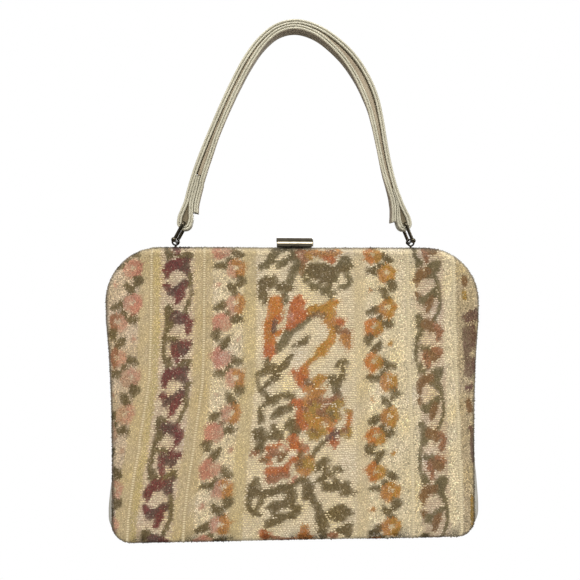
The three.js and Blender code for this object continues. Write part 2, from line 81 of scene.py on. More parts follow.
def vertexPlaces(piece):
    flat = np.empty(len(piece.data.vertices) * 3)
    piece.data.vertices.foreach_get("co", flat)
    return flat.reshape(-1, 3)


# A grid primitive with its rows and columns taken to the given places
def gridPiece(name, places):
    clearPick()
    rows, columns = places.shape[:2]
    bpy.ops.mesh.primitive_grid_add(x_subdivisions=columns - 1, y_subdivisions=rows - 1, size=2)
    piece = bpy.context.object
    piece.name = piece.data.name = name
    flat = vertexPlaces(piece)
    column = np.rint((flat[:, 0] + 1) / 2 * (columns - 1)).astype(int)
    row = np.rint((1 - flat[:, 1]) / 2 * (rows - 1)).astype(int)
    piece.data.vertices.foreach_set("co", (places[row, column] * mm).ravel())
    piece.data.update()
    return piece


# Merges doubled vertices, in metres; a body can also have its open ends capped and its faces turned out
def sew(piece, reach=1e-6, capped=False, turned=True):
    pickOnly(piece)
    bpy.ops.object.mode_set(mode="EDIT")
    bpy.ops.mesh.select_all(action="SELECT")
    bpy.ops.mesh.remove_doubles(threshold=reach)
    if capped:
        bpy.ops.mesh.select_all(action="DESELECT")
        bpy.ops.mesh.select_mode(type="EDGE")
        bpy.ops.mesh.select_non_manifold()
        bpy.ops.mesh.edge_face_add()
        bpy.ops.mesh.select_all(action="SELECT")
    if turned:
        bpy.ops.mesh.normals_make_consistent(inside=False)
    bpy.ops.object.mode_set(mode="OBJECT")


# Closed body through equal rings of places
def ringPiece(name, rings):
    rings = np.asarray(rings, float)
    piece = gridPiece(name, np.concatenate([rings, rings[:, :1]], axis=1))
    sew(piece, capped=True)
    return piece


# Turns a sheet over if the given face of it looks away from the outside
def faceOut(piece, face, outside):
    if face.normal.dot(outside) < 0:
        piece.data.flip_normals()


def applyStep(piece, kind, **settings):
    pickOnly(piece)
    step = piece.modifiers.new(kind.title(), kind)
    for key, value in settings.items():
        setattr(step, key, value)
    bpy.ops.object.modifier_apply(modifier=step.name)


def smoothBy(piece, degrees):
    pickOnly(piece)
    bpy.ops.object.shade_smooth_by_angle(angle=math.radians(degrees))


def joinInto(piece, others):
    pickOnly(piece)
    for other in others:
        other.select_set(True)
    bpy.ops.object.join()
    return piece


def coat(piece, finish):
    piece.data.materials.clear()
    piece.data.materials.append(finish)


def seat(piece, body, nodes, finish):
    coat(piece, finish)
    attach(piece, body)
    if nodes:
        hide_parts(*nodes)


# Finishes
class Nodes:
    def __init__(self, name, **sockets):
        self.finish = bpy.data.materials.new(name)
        self.finish.use_nodes = True
        self.tree = self.finish.node_tree
        self.shader = self.tree.nodes["Principled BSDF"]
        for key, value in sockets.items():
            self.shader.inputs[key.replace("_", " ")].default_value = value
        self.place = self.add("ShaderNodeTexCoord").outputs["Object"]

    def add(self, kind, **settings):
        node = self.tree.nodes.new(kind)
        for key, value in settings.items():
            setattr(node, key, value)
        return node

    def link(self, source, target):
        self.tree.links.new(source, target)

    def noise(self, scale, detail=3.0, stretch=(1, 1, 1)):
        mapping = self.add("ShaderNodeMapping")
        mapping.inputs["Scale"].default_value = stretch
        self.link(self.place, mapping.inputs["Vector"])
        node = self.add("ShaderNodeTexNoise")
        node.inputs["Scale"].default_value = scale
        node.inputs["Detail"].default_value = detail
        self.link(mapping.outputs["Vector"], node.inputs["Vector"])
        return node.outputs["Fac"]

    def ramp(self, source, stops):
        node = self.add("ShaderNodeValToRGB")
        line = node.color_ramp
        while len(line.elements) < len(stops):
            line.elements.new(0.5)
        for mark, (at, colour) in zip(line.elements, stops):
            mark.position = at
            mark.color = colour
        self.link(source, node.inputs["Fac"])
        return node.outputs["Color"]

    def mix(self, kind, share, first, second):
        node = self.add("ShaderNodeMix", data_type="RGBA", blend_type=kind)
        sockets = [node.inputs[i] for i in (0, 6, 7)]  # factor and the two colours
        for socket, value in zip(sockets, (share, first, second)):
            if isinstance(value, bpy.types.NodeSocket):
                self.link(value, socket)
            else:
                socket.default_value = value
        return node.outputs[2]

    def bump(self, source, strength, distance, before=None):
        node = self.add("ShaderNodeBump")
        node.inputs["Strength"].default_value = strength
        node.inputs["Distance"].default_value = distance
        self.link(source, node.inputs["Height"])
        if before:
            self.link(before, node.inputs["Normal"])
        return node.outputs["Normal"]

    def colour(self, source):
        self.link(source, self.shader.inputs["Base Color"])

    def normal(self, source):
        self.link(source, self.shader.inputs["Normal"])

    def rough(self, source, low, high):
        node = self.add("ShaderNodeMapRange")
        node.inputs["To Min"].default_value = low
        node.inputs["To Max"].default_value = high
        self.link(source, node.inputs["Value"])
        self.link(node.outputs["Result"], self.shader.inputs["Roughness"])


# Camera, lights and floor
shot = {"place": (-0.0296, -0.5646, -0.2125), "turn": -3.0, "lens": 42.33, "shift": -0.00724, "near": 0.01}
bpy.ops.object.camera_add(location=shot["place"], rotation=(math.radians(90), 0, math.radians(shot["turn"])))
camera = bpy.context.object
camera.data.lens = shot["lens"]
camera.data.shift_x = shot["shift"]
camera.data.clip_start = shot["near"]
bpy.context.scene.camera = camera
bpy.context.scene.view_settings.view_transform = "Standard"
bpy.context.scene.view_settings.look = "None"

# place, size, power, aim, and whether matt and shiny surfaces get its light
lights = {
    "frontSoft": ((-0.25, -1.25, 0.25), (0.8, 0.8), 16.0, (0, 0, -0.25), True, False),
    "sideSoft": ((1.1, -0.7, 0.2), (0.7, 0.9), 5.6, (0, 0, -0.25), True, True),
    "topStrip": ((0, -0.15, 0.9), (1.2, 0.36), 16.0, (0, -0.15, 0), True, False),
    "metalStrip": ((0, -0.54, 0.73), (1.2, 0.34), 15.0, (0, 0, -0.17), False, True),
    "backSoft": ((0.3, 1.4, 0.4), (1.0, 1.0), 16.0, (0, 0, -0.25), True, True),
}
for name, (place, size, power, aim, onMatt, onShiny) in lights.items():
    bpy.ops.object.light_add(type="AREA", location=place)
    lamp = bpy.context.object
    lamp.name = name
    lamp.data.shape = "RECTANGLE"
    lamp.data.size, lamp.data.size_y = size
    lamp.data.energy = power
    lamp.visible_diffuse = onMatt
    lamp.visible_glossy = onShiny
    way = np.subtract(aim, place)
    lamp.rotation_euler = (math.atan2(math.hypot(way[0], way[1]), -way[2]), 0, math.atan2(-way[0], way[1]))

# White to the camera; the light it gives is weaker from below
airSpec = {"colour": (1, 1, 1, 1), "seen": 1.0,
           "level": {"From Min": -0.4, "From Max": 0.3, "To Min": 0.1, "To Max": 0.55}}
air = bpy.data.worlds.new("studioWhite")
bpy.context.scene.world = air
air.use_nodes = True
airNodes = air.node_tree.nodes
airLink = air.node_tree.links.new
glow = airNodes["Background"]
seen = airNodes.new("ShaderNodeBackground")
for part in (glow, seen):
    part.inputs["Color"].default_value = airSpec["colour"]
seen.inputs["Strength"].default_value = airSpec["seen"]
airWay = airNodes.new("ShaderNodeTexCoord")
airSplit = airNodes.new("ShaderNodeSeparateXYZ")
airLevel = airNodes.new("ShaderNodeMapRange")
for key, value in airSpec["level"].items():
    airLevel.inputs[key].default_value = value
ray = airNodes.new("ShaderNodeLightPath")
airMix = airNodes.new("ShaderNodeMixShader")
airLink(airWay.outputs["Generated"], airSplit.inputs["Vector"])
airLink(airSplit.outputs["Z"], airLevel.inputs["Value"])
airLink(airLevel.outputs["Result"], glow.inputs["Strength"])
airLink(ray.outputs["Is Camera Ray"], airMix.inputs["Fac"])
airLink(glow.outputs["Background"], airMix.inputs[1])
airLink(seen.outputs["Background"], airMix.inputs[2])
airLink(airMix.outputs["Shader"], airNodes["World Output"].inputs["Surface"])

floorSpec = {"drop": -0.62, "radius": 0.37, "colour": (226, 225, 222), "rough": 0.9}
clearPick()
bpy.ops.mesh.primitive_circle_add(
    vertices=96, radius=floorSpec["radius"], fill_type="NGON", location=(0, 0, floorSpec["drop"]))
floor = bpy.context.object
floor.name = "floor"
coat(floor, Nodes("paleFloor", Base_Color=rgba(floorSpec["colour"]), Roughness=floorSpec["rough"]).finish)
print("camera, lights and floor set")


# Bag body, in mm: x across, drop below the mouth, depth out from the mouth plane
wall = {"half": 152.7, "corner": 44.0, "height": 233.0, "foot": 16.0, "thick": 2.5, "roll": 6.0, "crown": 2.2,
        "rollEnd": 1.02, "slopeStep": 0.5, "turnSteps": 20, "sideSteps": 36}
mouth = np.array([0, -4.2, -177.6])
# drop, half width
sideLine = [(44, 152.7), (60, 152.2), (85, 149.8), (120, 147.2), (160, 145.4), (195, 144.6), (233, 144.6)]
# drop, face depth, rim depth
depths = [(0, 9.4, 0.5), (20, 9.6, 0.5), (50, 11.6, 0.5), (75, 13.8, 0.5), (110, 17.4, 4.6),
          (150, 21.2, 10.2), (190, 24.6, 15.6), (233, 26.4, 19.2)]
# soft dents: height, then length and start of the wave across and down
dents = {"broad": (0.5, 29, 0.7, 37, 0.4), "fine": (0.35, 17, 0, 41, 0)}


def halfWidth(drop, inset=0.0):
    drop = np.asarray(drop, float)
    corner, foot = wall["corner"] - inset, wall["foot"] - inset
    up = np.clip(wall["corner"] - drop, 0, corner)
    high = wall["half"] - wall["corner"] + np.sqrt(corner**2 - up**2)
    side = smoothLook(sideLine, 1, drop)
    footStart = wall["height"] - wall["foot"]
    low = side - wall["foot"] + np.sqrt(foot**2 - np.clip(drop - footStart, 0, foot) ** 2)
    return np.where(drop < wall["corner"], high, np.where(drop > footStart, low, side - inset))


def faceDepth(x, drop):
    drop = np.clip(drop, 0, wall["height"])
    swell = np.sin(np.pi * drop / wall["height"]) * (1 - np.clip(np.abs(x) / halfWidth(drop), 0, 1) ** 2)
    high, long, startX, tall, startDrop = dents["broad"]
    soft = high * np.sin(x / long + startX) * np.sin(drop / tall + startDrop)
    high, long, startX, tall, startDrop = dents["fine"]
    soft = soft + high * np.sin(x / long + startX - drop / tall - startDrop)
    return smoothLook(depths, 1, drop) + (wall["crown"] + soft) * swell


# Outline of the flat of the wall, inside its rolled edge
def flatOutline():
    inset = wall["roll"]
    turn = np.linspace(0, np.pi / 2, wall["turnSteps"])
    corner, foot = wall["corner"] - inset, wall["foot"] - inset
    x = list(wall["half"] - wall["corner"] + corner * np.sin(turn))
    drop = list(wall["corner"] - corner * np.cos(turn))
    down = np.linspace(wall["corner"], wall["height"] - wall["foot"], wall["sideSteps"])[1:-1]
    x += list(halfWidth(down, inset))
    drop += list(down)
    low = wall["height"] - wall["foot"] + foot * np.sin(turn)
    x += list(smoothLook(sideLine, 1, low) - wall["foot"] + foot * np.cos(turn))
    drop += list(low)
    right = np.column_stack([x, drop])
    left = (right * (-1, 1))[::-1]
    return np.concatenate([right, left])


flatEdge = flatOutline()


# Nearest place on a closed outline
def nearOutline(start, x, drop):
    nearX, nearDrop = np.empty_like(x), np.empty_like(x)
    step = np.roll(start, -1, axis=0) - start
    size = (step**2).sum(1)
    batch = 4000  # points at a time
    for part in np.array_split(np.arange(len(x)), max(1, len(x) // batch)):
        point = np.column_stack([x[part], drop[part]])[:, None, :]
        along = np.clip(((point - start) * step).sum(2) / size, 0, 1)
        foot = start + along[..., None] * step
        best = ((point - foot) ** 2).sum(2).argmin(1)
        nearX[part] = foot[np.arange(len(part)), best, 0]
        nearDrop[part] = foot[np.arange(len(part)), best, 1]
    return nearX, nearDrop


# Place and direction out of the cloth for points of the flattened wall; past 1 they are beyond its rim
def wallPlace(x, drop):
    inset = wall["roll"]
    inside = (np.abs(x) < halfWidth(drop, inset)) & (drop > inset) & (drop < wall["height"] - inset)
    edgeX, edgeDrop = nearOutline(flatEdge, x, drop)
    edgeX, edgeDrop = np.where(inside, x, edgeX), np.where(inside, drop, edgeDrop)
    reach = np.hypot(x - edgeX, drop - edgeDrop)
    outX = (x - edgeX) / np.maximum(reach, 1e-9)
    outDrop = (drop - edgeDrop) / np.maximum(reach, 1e-9)
    rim = smoothLook(depths, 2, edgeDrop)
    high = faceDepth(edgeX, edgeDrop) - rim
    quarter = np.pi / 4 * (3 * (inset + high) - np.sqrt((3 * inset + high) * (inset + 3 * high)))
    share = reach / quarter
    turn = np.clip(share, 0, wall["rollEnd"]) * np.pi / 2
    place = np.column_stack([
        edgeX + outX * inset * np.sin(turn),
        -(rim + high * np.cos(turn)),
        -(edgeDrop + outDrop * inset * np.sin(turn)),
    ])
    step = wall["slopeStep"]
    slopeX = (faceDepth(edgeX + step, edgeDrop) - faceDepth(edgeX - step, edgeDrop)) / (2 * step)
    slopeDrop = (faceDepth(edgeX, edgeDrop + step) - faceDepth(edgeX, edgeDrop - step)) / (2 * step)
    flatWay = np.column_stack([-slopeX, -np.ones_like(x), slopeDrop])
    rollWay = np.column_stack([
        outX * high * np.sin(turn), -inset * np.cos(turn), -outDrop * high * np.sin(turn)])
    way = np.where(inside[:, None], flatWay, rollWay)
    way /= np.linalg.norm(way, axis=1)[:, None]
    return place, way, np.where(inside, 0, share)


# The front is as worked out; the back is the same turned half round
def onBag(place, side):
    return place * (-side, -side, 1) + mouth


# Cloth colours and the drawn pattern, in mm on the straight cloth
dyes = {
    "cream": (195, 179, 148), "sand": (186, 167, 139), "tan": (183, 164, 126), "straw": (185, 167, 127),
    "pale": (193, 176, 141), "blush": (182, 162, 135), "light": (204, 189, 156), "dun": (173, 156, 124),
    "white": (214, 200, 178), "olive": (113, 97, 68), "moss": (119, 106, 77), "brown": (130, 101, 70),
    "umber": (111, 88, 66), "plum": (114, 88, 76), "burgundy": (118, 71, 64), "mauve": (101, 80, 69),
    "pink": (183, 141, 116), "rose": (178, 124, 102), "gold": (169, 129, 67), "ochre": (152, 126, 72),
    "orange": (180, 116, 64), "rust": (170, 103, 66), "brick": (154, 110, 82), "amber": (176, 128, 76),
    "clay": (150, 108, 78), "citron": (178, 160, 113), "faded": (181, 150, 120), "drab": (124, 105, 84),
}
# yarn mixed into another, and its share
heather = {
    "pink": ("blush", 0.24), "rose": ("pink", 0.35), "orange": ("gold", 0.18), "gold": ("orange", 0.2),
    "rust": ("orange", 0.22), "burgundy": ("mauve", 0.25), "mauve": ("burgundy", 0.18),
    "olive": ("moss", 0.3), "umber": ("brown", 0.3), "plum": ("umber", 0.3), "brick": ("brown", 0.25),
    "ochre": ("gold", 0.25), "amber": ("clay", 0.3), "clay": ("umber", 0.2), "citron": ("tan", 0.5),
    "faded": ("brick", 0.2), "drab": ("plum", 0.35), "tan": ("straw", 0.3), "blush": ("cream", 0.4),
    "sand": ("blush", 0.2), "cream": ("light", 0.2), "light": ("cream", 0.3),
}
# from, to, colour of the ground, weave
bands = [
    (-260, -125, "sand", "grain"), (-125, -113, "tan", "smooth"), (-113, -108, "citron", "smooth"),
    (-108, -81, "blush", "dash"), (-81, -66, "tan", "smooth"), (-66, -42, "cream", "grain"),
    (-42, -31.5, "straw", "smooth"), (-31.5, 48, "cream", "dash"), (48, 58, "pale", "smooth"),
    (58, 99, "light", "grain"), (99, 121, "blush", "dash"), (121, 132, "light", "grain"),
    (132, 260, "dun", "grain"),
]
# middles of the open ladder lines
ladders = [-115, -73, 92, 130]
# how far a column of the cloth leans by the bottom, and how the lean comes on with the drop
lean = [(-165, -19), (-140, -17.6), (-114, -17), (-93, -16.6), (-72.5, -15.8), (-52.5, -13.4), (-35.6, -12),
        (-19.5, -9.5), (4.7, -4.7), (28.8, -1.6), (46.5, 0), (73, 0.3), (109, 2), (141, 2), (165, 2)]
leanGrowth = [(74, 0), (107, 0.04), (128, 0.21), (149, 0.4), (160, 0.46), (175, 0.62), (186, 0.72),
              (200, 0.82), (211, 0.9), (231, 0.97)]

# strokes: dye, or which of the vine's own dyes, then across, down and width along the stroke
leafVine = [
    ("third", (-7.5, -10, 4), (-4.5, -5.5, 5)),
    ("third", (3, -4, 5), (9, -5.6, 7.5)),
    ("second", (8, -1, 6), (4, 2, 9), (1, 3, 8)),
    ("first", (1, 0.6, 7.5), (-4.8, 2.4, 9), (-8.6, 7.4, 7), (-8, 12, 4)),
    ("second", (6, 4.6, 7), (9.4, 10.6, 4.6)),
    ("third", (9.6, 10, 4), (10.6, 18, 3.5), (11, 26, 3.5), (8.6, 35, 3.6), (5.6, 41, 3.4)),
    ("first", (-8.6, 18.8, 5), (-5.6, 22.6, 6.5)),
    ("second", (-4.2, 24.6, 8), (1, 23.8, 9), (5.8, 17.6, 6.5)),
    ("first", (4, 21.8, 5), (2.2, 26.6, 7.5), (0.6, 33, 4.5)),
]
broadLeafVine = [
    ("third", (7, -5, 7), (4.6, 2, 10), (6.6, 9, 5.5)),
    ("second", (1, 0.6, 10), (-5, 3, 9.5)),
    ("first", (-6.4, 2, 6), (-9.8, 6, 6.5), (-8.6, 12.4, 5)),
    ("third", (8, 9, 4.5), (9.8, 20, 3.6), (9.8, 30, 3.6), (7, 40, 3.6)),
    ("third", (5.6, 18.8, 5), (0.6, 20.4, 6.5)),
    ("second", (1, 24, 8), (-5.4, 26.4, 9)),
    ("first", (-4.6, 20.4, 5), (-9.4, 22.2, 6.5)),
    ("first", (2.6, 25, 5), (0.8, 31, 6), (-0.4, 36, 3.6)),
]
flowerVine = [
    ("olive", (-10.6, -3.4, 3.2), (-6.6, -3.8, 6), (-2.2, -3, 5)),
    ("first", (4, 0.4, 12), (5, -1, 13.4)),
    ("second", (5.6, -5.8, 6), (9.6, -3, 7.4), (8.8, 3.4, 6.4)),
    ("third", (5, -2.2, 2.8), (6.6, -1.8, 3.2)),
    ("olive", (8.6, 6.8, 5.6), (10.2, 8.6, 8.6), (9.6, 11.2, 5.6)),
    ("olive", (0.6, 11.8, 4), (3.2, 14.8, 6.8), (6, 18.4, 5.2)),
    ("first", (-8.2, 12, 3), (-7.6, 12.4, 3.4)),
    ("olive", (-10.4, 31.2, 3.6), (-6.6, 29.6, 6.6), (-2.6, 27, 5)),
    ("first", (4.8, 27, 13), (5.6, 27.2, 13.4)),
    ("second", (8, 21.8, 6), (10, 26, 7.4), (7.8, 31.4, 6.4)),
    ("third", (5, 26.6, 2.8), (6.6, 26.2, 3.2)),
    ("olive", (-0.4, 34.8, 5), (-3.4, 37.4, 6)),
]
edgeLeaves = [
    ("brown", (139, 25, 5), (139, 30, 4)),
    ("ochre", (138.5, 36, 2.5), (139, 42, 3)),
    ("plum", (139.5, 57.5, 6), (144, 56.5, 9), (149, 55, 9)),
    ("drab", (140, 67, 7), (141.6, 73, 10.5), (141, 80, 10), (139, 85.6, 5)),
    ("plum", (145, 66, 5), (147.4, 72, 6), (146, 80, 5)),
    ("drab", (140, 90.6, 6), (142.6, 95, 10.5), (141, 101, 9)),
    ("plum", (146, 92, 5), (147, 98, 6)),
    ("plum", (139, 113.6, 5), (143, 113, 5.4)),
    ("brown", (138.6, 125, 4.6), (141, 131, 6)),
    ("plum", (140, 145, 4), (142, 147, 4)),
    ("drab", (142, 150, 4), (141.6, 160, 5.4), (142.6, 172, 4)),
    ("ochre", (139.6, 200, 3.4), (139.6, 215, 4), (140.6, 226, 3)),
]
vineStep = 43.2
strokeGrow = 0.15
# right-hand unit, left-hand unit, across, first drop, which repeats, swell, then the dyes of the two hands
vines = [
    (flowerVine, flowerVine, -135.5, 18.8, range(-1, 2), 0,
     ("pink", "rose", "blush"), ("pink", "brick", "blush")),
    (flowerVine, flowerVine, -135.5, 18.8, range(2, 6), 0,
     ("faded", "pink", "blush"), ("faded", "faded", "blush")),
    (leafVine, broadLeafVine, -94.4, 12.3, range(-1, 6), -0.3,
     ("burgundy", "mauve", "olive"), ("burgundy", "mauve", "olive")),
    (flowerVine, flowerVine, -53.4, 18.8, range(-1, 6), 0,
     ("pink", "amber", "light"), ("pink", "rose", "pink")),
    (flowerVine, flowerVine, 69.0, 22.8, range(-1, 6), 0,
     ("amber", "gold", "light"), ("gold", "orange", "straw")),
    (leafVine, broadLeafVine, 107.6, 19.0, range(-1, 6), -1.1,
     ("brown", "moss", "moss"), ("clay", "brown", "moss")),
]
